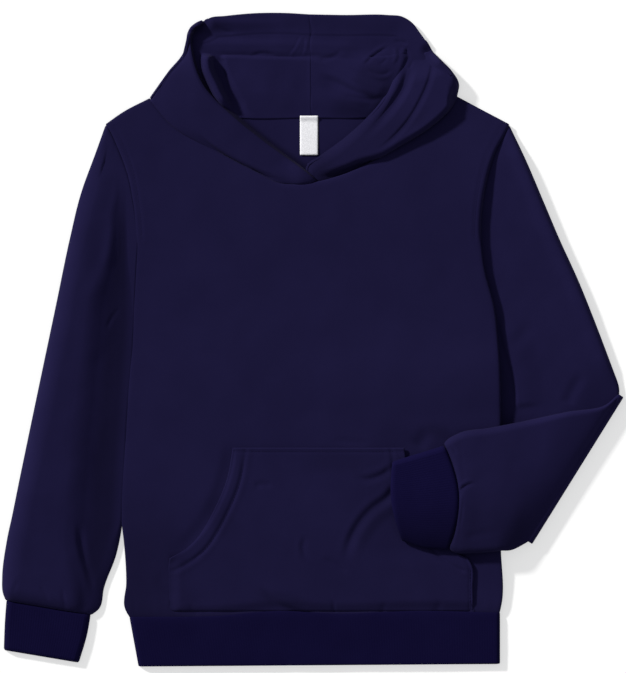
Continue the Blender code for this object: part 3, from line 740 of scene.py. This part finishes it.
def rightApart(plan, d, width):
    x, y = plan[..., 0], plan[..., 1]
    less = sleeves["crestLess"]
    crest = sleeves["crest"] * ease(178, 42, y) - less["cuff"] * ease(-120, -200, y)
    east = -beside(plan[None], drawn(shoulderRight))[0][0]
    crest = crest - less["shoulder"] * ease(0, 18, east) * ease(165, 130, y) * ease(40, 62, y)
    z = pressed + crest * (1 - flowing(rightShare(plan[None])[0], rightFall))
    z = z + crumpled(plan, rightSleeveFolds, sleeves["uneven"], 11.0) * ease(3, 6, z)
    lowEnd = ease(-232, -200, y + 0.17 * (x + 222))
    outerReach = 3 + 13 * ease(178, 120, y) * lowEnd
    innerReach = 1.4 + 7.0 * ease(-152, -180, y)
    fromCuff = np.maximum(0, y + 219.5 + 0.17 * (x + 256))
    z = pressed + (z - pressed) * (0.12 * np.clip(fromCuff / 9, 0, 1) + 0.88 * hill(fromCuff, 13.0))
    return z * hill(d, outerReach) * hill(width - d, innerReach)


def leftApart(plan, d, width):
    # low beside the body, with a ridge along the outer fold
    x, y = plan[..., 0], plan[..., 1]
    fromBody = np.maximum(x - atHeight(leftSide, y)[..., 0], 0)
    toElbow = -beside(plan[None], np.array([elbow["inner"], elbow["outer"]]))[0][0]
    loose = ease(3, 40, toElbow) * ease(180, 150, y)
    low, more = sleeves["ridge"]
    outerRidge = (low + more * ease(-20, 80, y)) * ridge(d, 4.5, 6.5)
    z = pressed + loose * (sleeves["leftRise"] * fromBody / (fromBody + d + 0.1) + outerRidge)
    z = z + crumpled(plan, leftSleeveFolds, sleeves["unevenLeft"], 21.0) * loose
    return z * hill(d, 2.5 + 1.0 * loose) * hill(width - d, 1.4)


def makeRightSleeve():
    rows = moreRows(sleeveRight, sleeves["rows"]["right"])
    grid = np.array(sleeveLoops(rows, rightSide, rightApart))
    share, y = rightShare(grid[..., :2]), grid[..., 1]
    # painted shade along the sleeve's fall, the slope that turns away from the light
    napAndPaintedShade = sleeves["fallPaintedShade"] * ease(0.4, 0.62, share) * ease(1.0, 0.8, share)
    napAndPaintedShade = napAndPaintedShade * ease(125, 85, y) * ease(-218, -190, y)
    sleeve = makeCloth("sleeveRightCloth", grid, "fleeceNavy", wraps=True, napAndPaintedShade=napAndPaintedShade)
    declare(sleeve, "sleeve_right")


def makeLeftSleeve():
    outer, inner = np.array(elbow["outer"]), np.array(elbow["inner"])
    fold = inner - outer
    outward = np.array([-fold[1], fold[0]]) / np.linalg.norm(fold)
    axisHeight = 2 * layer + gap * 1.5
    a, b = outer - outward * axisHeight, inner - outward * axisHeight
    rows = moreRows(sleeveLeft + [SleeveRow(*a, *b, 0)], sleeves["rows"]["left"])
    loops = sleeveLoops(rows, leftSide, leftApart)
    flat = loops[-1]
    # the flattened tube swings over about the elbow's line
    for turn in np.linspace(0, math.pi, elbow["turns"])[1:]:
        radius = axisHeight - flat[:, 2]
        swung = flat.copy()
        swung[:, :2] += outward[None] * (radius * math.sin(turn))[:, None]
        swung[:, 2] = axisHeight - radius * math.cos(turn)
        loops.append(swung)
    firstRow = FoldRow(*a, *b, 2 * axisHeight - half - pressed - half, pressed, 0)
    upperCount = len(flat) // 2 + 1
    share = np.linalg.norm(flat[:upperCount, :2] - flat[0, :2], axis=1) / widthOf(rows[-1])
    share[-1] = 1.0
    fall, late = sleeves["crownFall"]
    for row in moreRows([firstRow] + forearm, sleeves["rows"]["forearm"])[1:]:
        width, plan = widthOf(row), bowedRow(row, share)
        d = share * width
        fullness = np.clip((row.height - pressed) / 4.0, 0, 1)
        crown = pressed + (row.height - pressed) * (1 - fall * share**late)
        apart = crown * hill(d, 2.0 + 3.5 * fullness) * hill(width - d, 2.0 + 3.0 * fullness)
        puffed = crumpled(plan, forearmFolds, sleeves["uneven"], 31.0) * fullness
        puffed = puffed * np.clip(apart / 3.0, 0, 1)
        under = stack(plan, np.full(len(plan), row.floor + half))
        over = stack(plan, row.floor + half + np.maximum(apart + puffed, 0))
        loops.append(tubeLoop(over, under, overFirst=False))
    grid = np.array(loops)
    x, y = grid[..., 0], grid[..., 1]
    # painted shade towards the forearm's foot, and painted light at the elbow and near the top
    tone = sleeves["forearmPaintedShade"]
    napAndPaintedShade = tone["foot"] * ease(-112, -158, y) + tone["top"] * ease(-40, 0, y)
    napAndPaintedShade = napAndPaintedShade + tone["elbow"] * ease(165, 195, x) * ease(-50, -64, y)
    sleeve = makeCloth("sleeveLeftCloth", grid, "fleeceNavy", wraps=True, napAndPaintedShade=napAndPaintedShade)
    declare(sleeve, "sleeve_left")


# the ribbed bands

rib = {
    "pitch": 2.1,           # from ridge to ridge
    "height": 0.1,          # of a ridge over the groove
    "points": {"cuff": 5, "waist": 4},      # across one ridge
    "seamDip": 1.1,         # how far the band sinks to its seam
    "edgeDip": 0.6,         # how far it sinks to its other end
}
# rolls: how far the band is rounded at its outer and inner side; shade: painted shade by y, negative where
# light is painted
BandRow = namedtuple("BandRow", "outerX outerY innerX innerY bow")
cuffs = {
    "right": {"rows": [(-255.6, -218.6, -186.6, -230.6, 0), (-256.9, -236, -189.5, -247, 0),
                       (-257.9, -261, -196.6, -271.3, 0)],
              "floor": 0.0, "height": 3.8, "rolls": (4, 5), "shade": ([-250, -200], [0, 0])},
    "left": {"rows": [(111.5, -89.5, 114.5, -176.2, 10.5), (89, -96.5, 93, -174, 3.5),
                      (67.2, -103.3, 74.5, -167.5, -4.5)],
             "floor": forearmFloor, "height": 5.0, "rolls": (4, 17),
             "shade": ([-168, -152, -138, -118], [0.3, 0.13, -0.08, -0.17])},
}
waist = {"edge": [(-144.9, -274.5), (157.1, -272.4)], "rows": 18, "length": 42.0, "width": 304.0,
         "floor": 0.0, "height": 3.4, "rolls": (3, 3)}


def bandLoop(band, plan, d, width, s, length, ridges):
    # one loop of a ribbed tube: ridged cloth on top, plain cloth turned under
    edge = hill(d, band["rolls"][0]) * hill(width - d, band["rolls"][1])
    waves = 0.5 + 0.5 * np.cos(2 * math.pi * ridges * d / width)
    dip = rib["seamDip"] * (1 - hill(s, 4.0)) + rib["edgeDip"] * (1 - hill(length - s, 2.5))
    ribbing = rib["height"] * waves * ease(0.5, 5, s)
    apart = (band["height"] - dip + ribbing + 0.25 * uneven(plan, 22.0, 61.0)) * edge
    over = stack(plan, band["floor"] + half + np.maximum(apart, 0))
    return tubeLoop(over, stack(plan, np.full(len(d), band["floor"] + half)))


def makeCuff(name, node, side):
    band = cuffs[side]
    rows = moreRows([BandRow(*row) for row in band["rows"]], 26)
    ridges = round(widthOf(rows[0]) / rib["pitch"])
    share = np.linspace(0, 1, ridges * rib["points"]["cuff"])
    share = np.sort(np.concatenate([share, [0.002, 0.006, 0.994, 0.998]]))
    stations = stationsOf([sum(ends(row)) / 2 for row in rows])
    loops = []
    for row, s in zip(rows, stations):
        d = share * widthOf(row)
        loops.append(bandLoop(band, bowedRow(row, share), d, widthOf(row), s, stations[-1], ridges))
    grid = np.array(loops)
    # painted shade by y: the left cuff is painted lighter above and darker towards its lower edge, the right
    # one gets none
    napAndPaintedShade = np.interp(grid[..., 1], *band["shade"])
    cuff = makeCloth(name, grid, "ribNavy", wall=cloth["ribWall"], wraps=True, napAndPaintedShade=napAndPaintedShade)
    declare(cuff, node)


def makeWaistband():
    length, width = waist["length"], waist["width"]
    ridges = round(width / rib["pitch"])
    sides = np.array([0, *edgeSteps]) / width
    middle = np.linspace(sides[-1], 1 - sides[-1], ridges * rib["points"]["waist"])[1:-1]
    share = np.concatenate([sides, middle, 1 - sides[::-1]])
    seam = along(hemSeam, share) + np.array([0, 0.9])
    edge = along(waist["edge"], share)
    loops = [bandLoop(waist, seam + (edge - seam) * s, share * width, width, s * length, length, ridges)
             for s in crowded(waist["rows"], length)]
    band = makeCloth("waistbandRib", np.array(loops), "ribNavy", wall=cloth["ribWall"], wraps=True)
    declare(band, "waistband")


# the pocket

PocketRow = namedtuple("PocketRow", "y left right")
pocketCurve = [PocketRow(*row) for row in ((-90.9, -66.4, 77.3), (-117.4, -71.4, 81.7), (-140.1, -80.6, 90.9),
    (-155, -88.4, 98.8), (-166, -95.5, 106), (-174, -103.5, 114), (-180, -112.5, 123), (-183.8, -119.6, 131))]
pocketSide = [PocketRow(*row) for row in ((-183.8, -119.6, 131), (-190, -120.4, 134.4), (-209, -120.7, 135),
    (-228.5, -121, 135.6))]
pocket = {
    "hem": 11.0,            # width of the turned hem along the openings
    "hemExtra": 0.5,        # it is a little thicker there
    "topStitch": 3.0,       # distance of the stitching from the top edge
    "sideStitch": 2.6,
}


def pocketTop(plan):
    # middle of the pocket's cloth before its hems and stitching
    return frontTop(plan) + gap + half


def makePocket():
    upper, lower = moreRows(pocketCurve, 78), moreRows(pocketSide, 34)
    closer = [PocketRow(*along([list(upper[0]), list(upper[1])], s)[0]) for s in (0.25, 0.6)]
    rows = [upper[0]] + closer + upper[1:] + lower[1:]
    share = crowded(150, 190)
    plan = np.array([[(row.left + (row.right - row.left) * s, row.y) for s in share] for row in rows])
    y = plan[..., 1]
    z = pocketTop(plan)
    lines = {}
    for side, sign in (("left", 1), ("right", -1)):
        edge = np.array([(getattr(row, side), row.y) for row in upper])
        hem = insetLine(edge, sign * pocket["hem"])
        lines[side.capitalize() + "Hem"] = hem
        lines[side.capitalize() + "Edge"] = insetLine(edge, sign * 1.8)
        distance = near(plan, edge)
        fromHem = near(plan, hem)
        z += pocket["hemExtra"] * ease(pocket["hem"] + 0.8, pocket["hem"] - 4, distance)
        z -= 0.6 * ridge(fromHem, 0, 1.7) * ease(-96, -112, y)
        z += 0.3 * ease(8, 2.5, fromHem) * ease(pocket["hem"], pocket["hem"] + 3, distance)
    top = plan[0]
    distance = near(plan, top)
    z += 0.2 * ridge(distance, 1.0, 1.2) - 0.35 * ridge(distance, pocket["topStitch"], 1.0)
    z -= pocketSink(plan)
    fromRight = (1 - share[None]) * 250
    z -= 0.6 * ease(-181, -188, y) * ridge(fromRight, pocket["sideStitch"], 1.0)
    # the pocket is painted darker in the front's listed shade places
    piece = makeCloth("pocketCloth", stack(plan, z), "fleeceNavy", napAndPaintedShade=folded(plan, frontPaintedShade))
    declare(piece, "pocket")
    lines = {key: (line[line[:, 1] > -181], 0.2 if "Edge" in key else -0.5) for key, line in lines.items()}
    topY = top[0][1] - pocket["topStitch"]
    lines["Top"] = np.linspace((-63, topY), (74, topY), 80), -0.3
    lines["Side"] = np.linspace((132.5, -190), (132.5, -227), 40), -0.4
    for key, (line, lift) in lines.items():
        makeStitches("pocketStitch" + key, line, pocketTop(line[None])[0] + half + lift)


# the hood

rightOutline = [(-136.5, 202.7), (-121, 224.5), (-107.5, 242.5), (-105.8, 250.5), (-104.6, 257.2),
    (-102.5, 261.4), (-98.3, 265.2), (-92.4, 268.2)]
leftOutline = [(122, 203.5), (123.5, 214.4), (117.6, 224.9), (109.2, 233.7), (100, 243)]
rightTop = [(-1.7, 272.7), (-22.7, 273.9), (-47.9, 273.7), (-73.1, 271.4), (-85.7, 269.7)]
leftTop = [(-1.7, 272.7), (27.7, 272.2), (63.8, 272.2), (75.6, 270.9), (83.2, 266.5), (90.7, 257.2),
    (96.6, 248)]
rightRim = [(3.4, 132.5), (-5, 139.2), (-40.3, 164.8), (-66.4, 185.8), (-81.5, 200.1), (-90.7, 211),
    (-97.4, 224.5), (-101.2, 238.8), (-102.6, 249.7), (-101.6, 257.2), (-98.3, 262.7), (-92.4, 266.5)]
leftRim = [(-4.2, 138), (-4.2, 144.7), (7.6, 153.5), (27.7, 168.2), (45.4, 184.2), (58, 198.4), (67.2, 213.6),
    (73.1, 226.2), (76.4, 237.1)]
rimPace = {"right": ([0, 0.1, 0.2, 0.35, 0.6, 1], [0, 0.27, 0.45, 0.66, 0.85, 1]),
           "left": ([0, 0.1, 0.25, 0.6, 1], [0, 0.3, 0.56, 0.82, 1])}
centreSeam = [(-0.3, 132.9), (-1.2, 175.8), (-1.7, 272.7)]
insideSeam = [(-1.3, 132.9), (-1.7, 185.8), (-2, 234.6), (-1.5, 251.4), (0, 259.8), (-1.7, 266.5),
    (-2.5, 273.2)]
plateauTop = [(-78.1, 237.5), (-63.8, 237.5), (-50.4, 236.8), (-31.1, 236.2), (-1.7, 235.8), (27.7, 235),
    (45.4, 236.2)]
plateauLeft = [(-47, 177.4), (-54.6, 187.5), (-59.6, 197.6), (-66.4, 208.5), (-72.2, 222.8), (-75.6, 234.6),
    (-77.3, 243)]
hood = {
    "rows": 88,
    "hem": 17.0,
    "under": 1.0,           # air under the inside layer
    "plateau": (3.0, 1.9),  # height of its pressed part, at the left and in the middle
    "riseLeft": 3.6,        # how far the inside climbs to the left rim
    # radius of the outer fold: along the outline, then its width and height at the top
    "wrapRight": (1.35, 1.9, 3.9),
    "wrapLeft": (2.6, 1.9),             # at the foot and further up
    "tallLeft": 5.2,        # half the height of the fold there
    "rim": 3.9,             # height of the left half's rim
    "field": (6.0, 3.4),    # height of the left half near the front, and how much more further left
    "endSink": 1.7,         # of the left half's far end
    "swell": (4.0, 1.6),    # height of the right half beside its rim, and how much more further up
    "tip": 2.3,             # how far the right half's tip lies over the left half
    # the inner side of the rims, by y: its width at the right, and the height of its foot
    "wall": ([132, 140, 146, 152, 159, 166, 172, 179, 186, 192, 200, 211, 222, 240, 262, 268],
             [0.8, 1.8, 2.2, 2.6, 3.2, 3.6, 3.8, 4.2, 4.2, 2.8, 1.6, 1.6, 1.8, 1.8, 1.5, 1.2]),
    "wallFoot": {"right": ([134, 142, 182, 192, 205, 222], [5.6, 2.2, 2.2, 3.6, 3.6, 2.6]),
                 "left": ([140, 186, 200, 235], [2.1, 2.1, 4.2, 4.2])},
    # painted light over the whole inside of the hood
    "insidePaintedShade": -0.06,
    "wallPaintedShade": 0.4,         # painted shade on the right rim's inner side
    "rollPaintedShade": (0.17, 0.2),             # painted shade along the left half, and at its front end
}
insideFolds = [
    # the roll that stands beside the right rim, and the valley on its other side
    Fold([(-42, 165.7), (-50.4, 172.4), (-59.6, 179.1), (-67.2, 185.8), (-71, 192.6), (-74.8, 199.3),
         (-78.4, 206), (-81.5, 212.7), (-84.8, 219.4), (-87.4, 226.2), (-88.2, 232.9), (-87.4, 239.6)],
         [(-5.5, 0), (-3.5, 4.2), (-1.2, 9.4), (1.0, 9.9), (3.0, 5.6), (5.4, -0.2), (6.4, -1.0), (14, -1.0),
         (17, 0)], (0.2, 0.05)),
    # streaks on that roll
    Fold([(-83.2, 235.4), (-82.3, 224.5), (-78.1, 212.7)], groove(0.6, 1.2), (0.1, 0.3)),
    # the hem sinks to a valley at its left
    Fold([(-94.1, 257.2), (-72.2, 256.4), (-42, 255.6), (-13.4, 254.7)], [(-15, 0), (-10, 0.7), (-1.5, -0.5),
         (2, -0.4), (9, 0.5), (16, 0)], (0, 0.6)),
    # the strip between the hem and the fold below it
    Fold([(-89.9, 246.3), (-60.5, 245.5), (-18.5, 244.6), (27.7, 243), (47, 241.3)], [(-9, 0), (-2, 1.0),
         (2.5, 0.9), (8.2, -0.2), (9.2, 0)], (0.12, 0.2)),
    Fold([(-52.1, 237.9), (-42, 240.4), (-30.2, 238.8)], groove(0.8, 3)),
    Fold([(-9.2, 254.7), (-13.4, 245.5), (-20.2, 237.1)], [(-2.6, 0), (-0.8, 0.35), (0.8, -0.3), (3, 0)],
         (0.2, 0.3)),
    Fold([(-5, 253), (-5.9, 244.6), (-8.4, 237.1)], [(-2.4, 0), (-0.8, 0.3), (0.8, -0.25), (3, 0)], (0.2, 0.3)),
    Fold([(5, 234.6), (15.1, 236.2), (26.9, 243)], groove(0.6, 4), (0.2, 0.3)),
    # the folds that run into the left rim
    Fold([(5, 227.8), (18.5, 222.8), (31.9, 216.1), (47, 209.8), (68.9, 203.5)], [(-10, 0), (-3, 1.3),
         (0.5, 1.4), (6.5, -1.2), (12, -0.8), (20, 0)], (0.3, 0)),
    Fold([(23.5, 205.2), (42, 201.8), (63.8, 201)], groove(0.6, 3.5), (0.3, 0)),
    Fold([(42, 229.5), (47.9, 236.2), (55.4, 242.1), (64.7, 247.2)], [(-3.5, 0), (-0.8, 0.45), (1.2, -0.7),
         (4.5, 0)], (0.25, 0.3)),
    Fold([(47, 226.2), (53.8, 222), (62.2, 222), (68, 227)], [(-4, 0), (-0.5, -0.6), (2, 0.4), (5, 0)],
         (0.25, 0.3)),
    Fold([(55.4, 229.5), (59.6, 232), (63.8, 237.1)], groove(0.45, 2.2)),
    Fold([(68, 229.5), (71.4, 237.9), (69.7, 245.5)], [(-3, 0), (-0.5, 0.8), (1.5, -0.4), (4, 0)]),
    Fold([(73.9, 243), (79.8, 239.6), (85.7, 234.6)], [(-4, 0), (-1, 1.0), (2, 0.6), (5, 0)], (0.3, 0.1)),
    Fold([(67.2, 249.7), (75.6, 249.7), (84.8, 245.5)], groove(0.5, 3)),
    Fold([(-82.3, 264.8), (-75.6, 259.8), (-63.8, 257.2)], groove(0.4, 3)),
]
leftHoodFolds = [
    Fold([(38.6, 167.4), (53.8, 180.8), (65.5, 194.2), (74.8, 207.7), (80.6, 222.8), (83.6, 237.1)], [(-5.5, 0),
         (-0.8, -2.9), (0.8, -2.9), (7.5, 0)], (0.4, 0.25)),
    Fold([(81.5, 226.2), (84.8, 234.6), (85.7, 241.3)], groove(1.8, 2.6), (0.2, 0.3)),
    Fold([(52.1, 155.6), (67.2, 168.2), (80.6, 183.3), (90.7, 200.1), (98.3, 217.8), (102.5, 236.2)],
         [(-2.8, 0), (-0.3, -1.2), (0.4, -1.2), (5, 0)], (0.3, 0.1)),
    Fold([(72.2, 172.4), (90.7, 184.2), (105.8, 201)], groove(0.3, 7)),
]
rightHoodFolds = [
    Fold([(-95.8, 172.4), (-81.5, 161.1), (-67.2, 151.8), (-52.1, 144.3), (-37, 137.5), (-23.5, 133.8)],
         [(-6, 0), (-1.6, 1.0), (0.4, -2.1), (2.0, -0.6), (5, 0)], (0.3, 0.15)),
    Fold([(-37, 142.2), (-21.8, 148.9), (-10.1, 147.2)], groove(0.5, 6)),
]
# painted shade inside the hood, as (distance, darkening); the first one, negative, paints light
insidePaintedShade = [
    Fold([(-55.4, 243), (-50.4, 209.4), (-42, 184.2)], [(-24, 0), (-6, -0.07), (10, -0.07), (20, 0)],
         (0.2, 0.2)),
    Fold([(37, 229.5), (50.4, 219.4), (60.5, 207.7)], [(-20, 0), (-4, 0.24), (10, 0.24), (16, 0)], (0.3, 0)),
    Fold([(15.1, 197.6), (40.3, 194.2), (60.5, 195.9)], [(-12, 0), (-2, 0.2), (6, 0.2), (16, 0)], (0.3, 0)),
    Fold([(-97.4, 261.4), (-80.6, 262.3), (-60.5, 262.3)], [(-7, 0), (-2, 0.2), (3, 0.2), (7, 0)], (0, 0.5)),
]
# painted shade on the outside of the hood, as (distance, darkening)
outsidePaintedShade = [
    Fold([(-119.3, 177.4), (-89.9, 157.3), (-60.5, 142.2), (-31.1, 133.8)], [(-14, 0), (-3, 0.14), (8, 0.14)],
         (0.3, 0.2)),
    Fold([(5, 137.1), (31.9, 142.2), (60.5, 157.3)], [(-6, 0), (0, 0.2), (8, 0.2)], (0.2, 0.3)),
]


def insideRelief(plan, neckLine, topLine, settle):
    # everything that shows inside the hood
    x = plan[..., 0]
    top = beside(plan, drawn(plateauTop))[0]
    left = beside(plan, drawn(plateauLeft))[0]
    foot = near(plan, neckLine)
    soft = 1.0 + 7.0 * ease(-15, 25, x)
    high, low = hood["plateau"]
    z = (high + (low - high) * ease(-60, -10, x)) * ease(-soft, soft, top) * ease(-1.5, 4.0, left)
    z = z * ease(78, 52, x) * ease(-4, 24, foot)
    z = z + folded(plan, insideFolds[:1]) * ease(1, 15, foot) + folded(plan, insideFolds[1:]) * settle
    hem = hood["hem"]
    z += stepped(near(plan, topLine), [(0, 1.7), (hem - 0.8, 0.4), (hem + 0.6, -0.15), (hem + 2.4, 0)])
    # the centre seam stands up in the hood and sinks in its hem
    distance, share = beside(plan, drawn(insideSeam))
    z += ridge(distance, 0, 0.9) * (0.25 * ease(0.8, 0.7, share) - 0.3 * ease(0.72, 0.82, share))
    return z + 0.25 * uneven(plan, 15.0, 41.0)


def wrapSize(right, u):
    # half the width and half the height of the hood's outer fold along it
    tight = pressed / 2
    if right:
        full, wide, tall = hood["wrapRight"]
        grown = ease(0.55, 0.82, u) * ease(1.0, 0.95, u)
        size = tight + (full - tight) * ease(0, 0.16, u)
        return size + (wide - full) * grown, size + (tall - full) * grown
    full, upper = hood["wrapLeft"]
    height = tight + (full - tight) * ease(0, 0.16, u) + (upper - full) * ease(0.25, 0.6, u)
    across = np.minimum(height, 2.4)
    height = height + (hood["tallLeft"] - upper) * ease(0.12, 0.45, u)
    return (tight + (part - tight) * ease(1.0, 0.72, u) for part in (across, height))


def rightHeight(plan, fromSeam, fromFold, fromRim, height):
    x, y = plan[..., 0], plan[..., 1]
    share = fromFold / (fromFold + fromRim + 1e-6)
    low, more = hood["swell"]
    z = half + pressed + (low + more * ease(150, 200, y)) * share**0.85 * hill(fromSeam, 12.0)
    z += folded(plan, rightHoodFolds) + hood["tip"] * ease(-22, -7, x)
    return np.maximum(z, half + 2 * height[:, None] * ease(0, 4, fromSeam))


def leftHeight(plan, fromSeam, fromFold, fromRim, fromStart, fromEnd, height):
    x = plan[..., 0]
    rise = hill(np.maximum(0, fromSeam - 5.0 * ease(62, 34, x)), 4.5)
    rimHigh = hood["rim"]
    low, more = hood["field"]
    field = low + more * ease(5, 52, x)
    swell = rimHigh + 0.6 * ease(0, 3, fromRim) + (field - rimHigh) * fromRim / (fromRim + fromSeam + 0.1)
    swell = (swell + 0.85 * folded(plan, leftHoodFolds)) * ease(1, 27, fromStart)
    target = -hood["endSink"] * ease(0, 6, fromFold)
    swell = target + (swell - target) * ease(0, 24, fromEnd)
    return half + pressed + np.minimum(swell, 2 * height[:, None] - pressed + 0.75 * fromFold) * rise


def makeHoodHalf(name, node, side, outline, top, rim, first, last):
    right = side == "right"
    sign = -1 if right else 1
    u = crowded(hood["rows"], 75)
    edge = along(outline, u)
    outward = -sign * leftOf(edge, u)
    across, height = wrapSize(right, u)
    fold = edge - outward * (across + half)[:, None]
    rimLine = along(rim, np.interp(u, *rimPace[side]))

    def fromStart(plan):
        return np.hypot(plan[..., 0] - rimLine[0, 0], plan[..., 1] - rimLine[0, 1])

    # the inside
    columns = np.concatenate([[0, 0.003, 0.008, 0.016], np.linspace(0.026, 1, 92)])
    neckLine = along(backNeck, last + (first - last) * columns) - np.array([0, 1.0])
    neckLine[-1] = fold[0]
    topLine = along(list(top) + [fold[-1]], columns)
    seam = drawn(centreSeam)
    y = neckLine[0, 1] + (topLine[0, 1] - neckLine[0, 1]) * u
    centre = np.stack([np.interp(y, seam[:, 1], seam[:, 0]) - 1.3 * sign, y], axis=-1)
    neckLine[0], topLine[0] = centre[0], centre[-1]
    lower = patch(neckLine, topLine, centre, fold, columns, u)
    fromNeck = near(lower, neckLine)
    beyond = beside(lower, rimLine)[0]
    relief = insideRelief(lower, neckLine, topLine, 1.0 if right else ease(0, -8, beyond))
    under = 0.9 + (hood["under"] - 0.9) * ease(0, 14, fromNeck)
    lowerZ = half + (under + relief) * ease(0, 9, near(lower, fold))
    if not right:
        # it climbs to the rim and drops away behind it
        climb = ease(-52, -5, beyond) * ease(4.5, 0.0, beyond) * ease(0, 20, fromNeck)
        lowerZ += hood["riseLeft"] * climb * ease(2, 30, fromStart(lower)) * ease(250, 225, lower[..., 1])

    turns = np.linspace(0, math.pi, 14)[1:-1]
    wrap = np.stack([fold + outward * (across * math.sin(t))[:, None] for t in turns], axis=1)
    wrapZ = np.stack([half + height * (1 - math.cos(t)) for t in turns], axis=1)

    # the outside, between the neck, the outer fold and the rim
    columns = np.concatenate([np.linspace(0, 0.97, 84), [0.978, 0.985, 0.992, 0.997, 1.0]])
    frontLine = along(frontNeck, first + (last - first) * columns) + np.array([0, -0.4])
    frontLine[0], frontLine[-1] = fold[0], rimLine[0]
    endLine = along([fold[-1], rimLine[-1]], columns)
    upper = patch(frontLine, endLine, fold, rimLine, columns, u)
    fromSeam, fromFold, fromRim, fromEnd = (near(upper, line) for line in (frontLine, fold, rimLine, endLine))
    if right:
        z = rightHeight(upper, fromSeam, fromFold, fromRim, height)
    else:
        z = leftHeight(upper, fromSeam, fromFold, fromRim, fromStart(upper), fromEnd, height)
    z += 0.2 * uneven(upper, 18.0, 51.0 + sign)
    blend = ease(0, 2.5 if right else 7, fromFold)
    upperZ = (1 - blend) * (half + 2 * height[:, None]) + blend * z

    # the inner side of the rim: it falls steeply at the right, and turns under at the left
    inside = sign * leftOf(rimLine)
    crest = upperZ[:, -1]
    shares = np.array([0.06, 0.16, 0.3, 0.45, 0.6, 0.75, 0.88, 1.0])
    wide = np.interp(rimLine[:, 1], *hood["wall"]) if right else np.full(len(rimLine), -1.5)
    floor = np.interp(rimLine[:, 1], *hood["wallFoot"][side])
    fall = 1 - (1 - shares) ** 1.6 if right else shares**1.5
    wall = rimLine[:, None] + (inside * wide[:, None])[:, None] * shares[None, :, None]
    wallZ = crest[:, None] - np.maximum(crest - floor, 0)[:, None] * fall[None]

    # painted shade along the left half's roll and at its front end
    roll = np.zeros(upperZ.shape)
    if not right:
        more, start = hood["rollPaintedShade"]
        x, y = upper[..., 0], upper[..., 1]
        roll = more * ease(-10, 10, x) * ease(205, 175, y) * ease(0, 12, fromSeam)
        roll += start * ease(34, 10, fromStart(upper))
    # painted shade for each part: inside, none on the fold, outside with the roll, and the right rim's inner
    # side
    paintedShades = [folded(lower, insidePaintedShade) + hood["insidePaintedShade"], np.zeros(wrapZ.shape),
            folded(upper, outsidePaintedShade) + roll, np.full(wallZ.shape, hood["wallPaintedShade"] if right else 0.0)]
    plan = np.concatenate([lower, wrap, upper, wall], axis=1)
    grid = stack(plan, np.concatenate([lowerZ, wrapZ, upperZ, wallZ], axis=1))
    piece = makeCloth(name, grid, "fleeceNavy", napAndPaintedShade=np.concatenate(paintedShades, axis=1))
    declare(piece, node)


def makeHood():
    makeHoodHalf("hoodRightCloth", "hood_right", "right", rightOutline, rightTop, rightRim, 0.0, neckMiddle)
    makeHoodHalf("hoodLeftCloth", "hood_left", "left", leftOutline, leftTop, leftRim, 1.0, neckMiddle)


# the neck label is left blank

label = {"left": -10.1, "right": 5.0, "low": 154.6, "high": 187.6, "wall": 0.5, "curl": 0.5, "lift": 1.5}


def makeLabel():
    x = np.linspace(label["left"], label["right"], 16)
    y = np.linspace(label["high"], label["low"], 30)
    plan = np.stack(np.meshgrid(x, y), axis=-1)
    share = np.linspace(0, 1, len(y))[:, None]
    z = layer + 0.5 + label["lift"] * ease(0.16, 0, share) + label["curl"] * share**2
    z = z + np.zeros(len(x))
    piece = makeCloth("neckLabelTape", stack(plan, z), "tapeWhite", wall=label["wall"])
    declare(piece, "neck_label")


makeBody()
makeRightSleeve()
makeLeftSleeve()
makeCuff("cuffRightRib", "cuff_right", "right")
makeCuff("cuffLeftRib", "cuff_left", "left")
makeWaistband()
makePocket()
makeHood()
makeLabel()


# floor, light and camera

stage = {
    "floorSize": 6.0,
    "floorTone": 0.42,
    "floorGlow": 0.545,
    "sky": (0.498, 0.503, 0.515),
    "sunPower": 5.15,
    "sunColour": (1.0, 0.99, 0.97),
    "sunSoft": 5.0,         # degrees
    "sunElevation": 25.0,   # degrees
    "sunFrom": (-0.79, 0.61),
}


def makeStage():
    bpy.ops.object.select_all(action="DESELECT")
    bpy.ops.mesh.primitive_plane_add(size=stage["floorSize"], location=(0, 0, 0))
    floor = bpy.context.active_object
    floor.name = "floor"
    paper = bpy.data.materials.new("palePaper")
    paper.use_nodes = True
    shader = paper.node_tree.nodes["Principled BSDF"]
    tone = stage["floorTone"]
    # it glows like a light table
    setInputs(shader, {"Base Color": (tone, tone, tone, 1), "Roughness": 1.0, "Specular IOR Level": 0.0,
                       "Emission Color": (1, 1, 1, 1), "Emission Strength": stage["floorGlow"]})
    floor.data.materials.append(paper)

    world = bpy.data.worlds.new("softRoom")
    bpy.context.scene.world = world
    world.use_nodes = True
    world.node_tree.nodes["Background"].inputs["Color"].default_value = (*stage["sky"], 1)

    sun = bpy.data.lights.new("key", "SUN")
    sun.energy = stage["sunPower"]
    sun.color = stage["sunColour"]
    sun.angle = math.radians(stage["sunSoft"])
    key = newObject("key", sun)
    rise = math.radians(stage["sunElevation"])
    across = Vector((*stage["sunFrom"], 0)).normalized() * math.cos(rise)
    source = Vector((across.x, across.y, math.sin(rise)))
    key.rotation_euler = source.to_track_quat("Z", "Y").to_euler()


view = {"pixel": 0.84, "wide": 626, "tall": 673, "middle": (0.84, 2.3), "distance": 5.0, "sensor": 36.0}


def makeCamera():
    data = bpy.data.cameras.new("camera")
    data.sensor_width = view["sensor"]
    data.lens = view["sensor"] * view["distance"] / (view["tall"] * view["pixel"] * mm)
    data.clip_end = 50
    camera = newObject("camera", data)
    x, y = view["middle"]
    camera.location = (x * mm, y * mm, view["distance"])
    bpy.context.scene.camera = camera
    bpy.context.scene.view_settings.view_transform = "Standard"


makeStage()
makeCamera()
print("stage set")
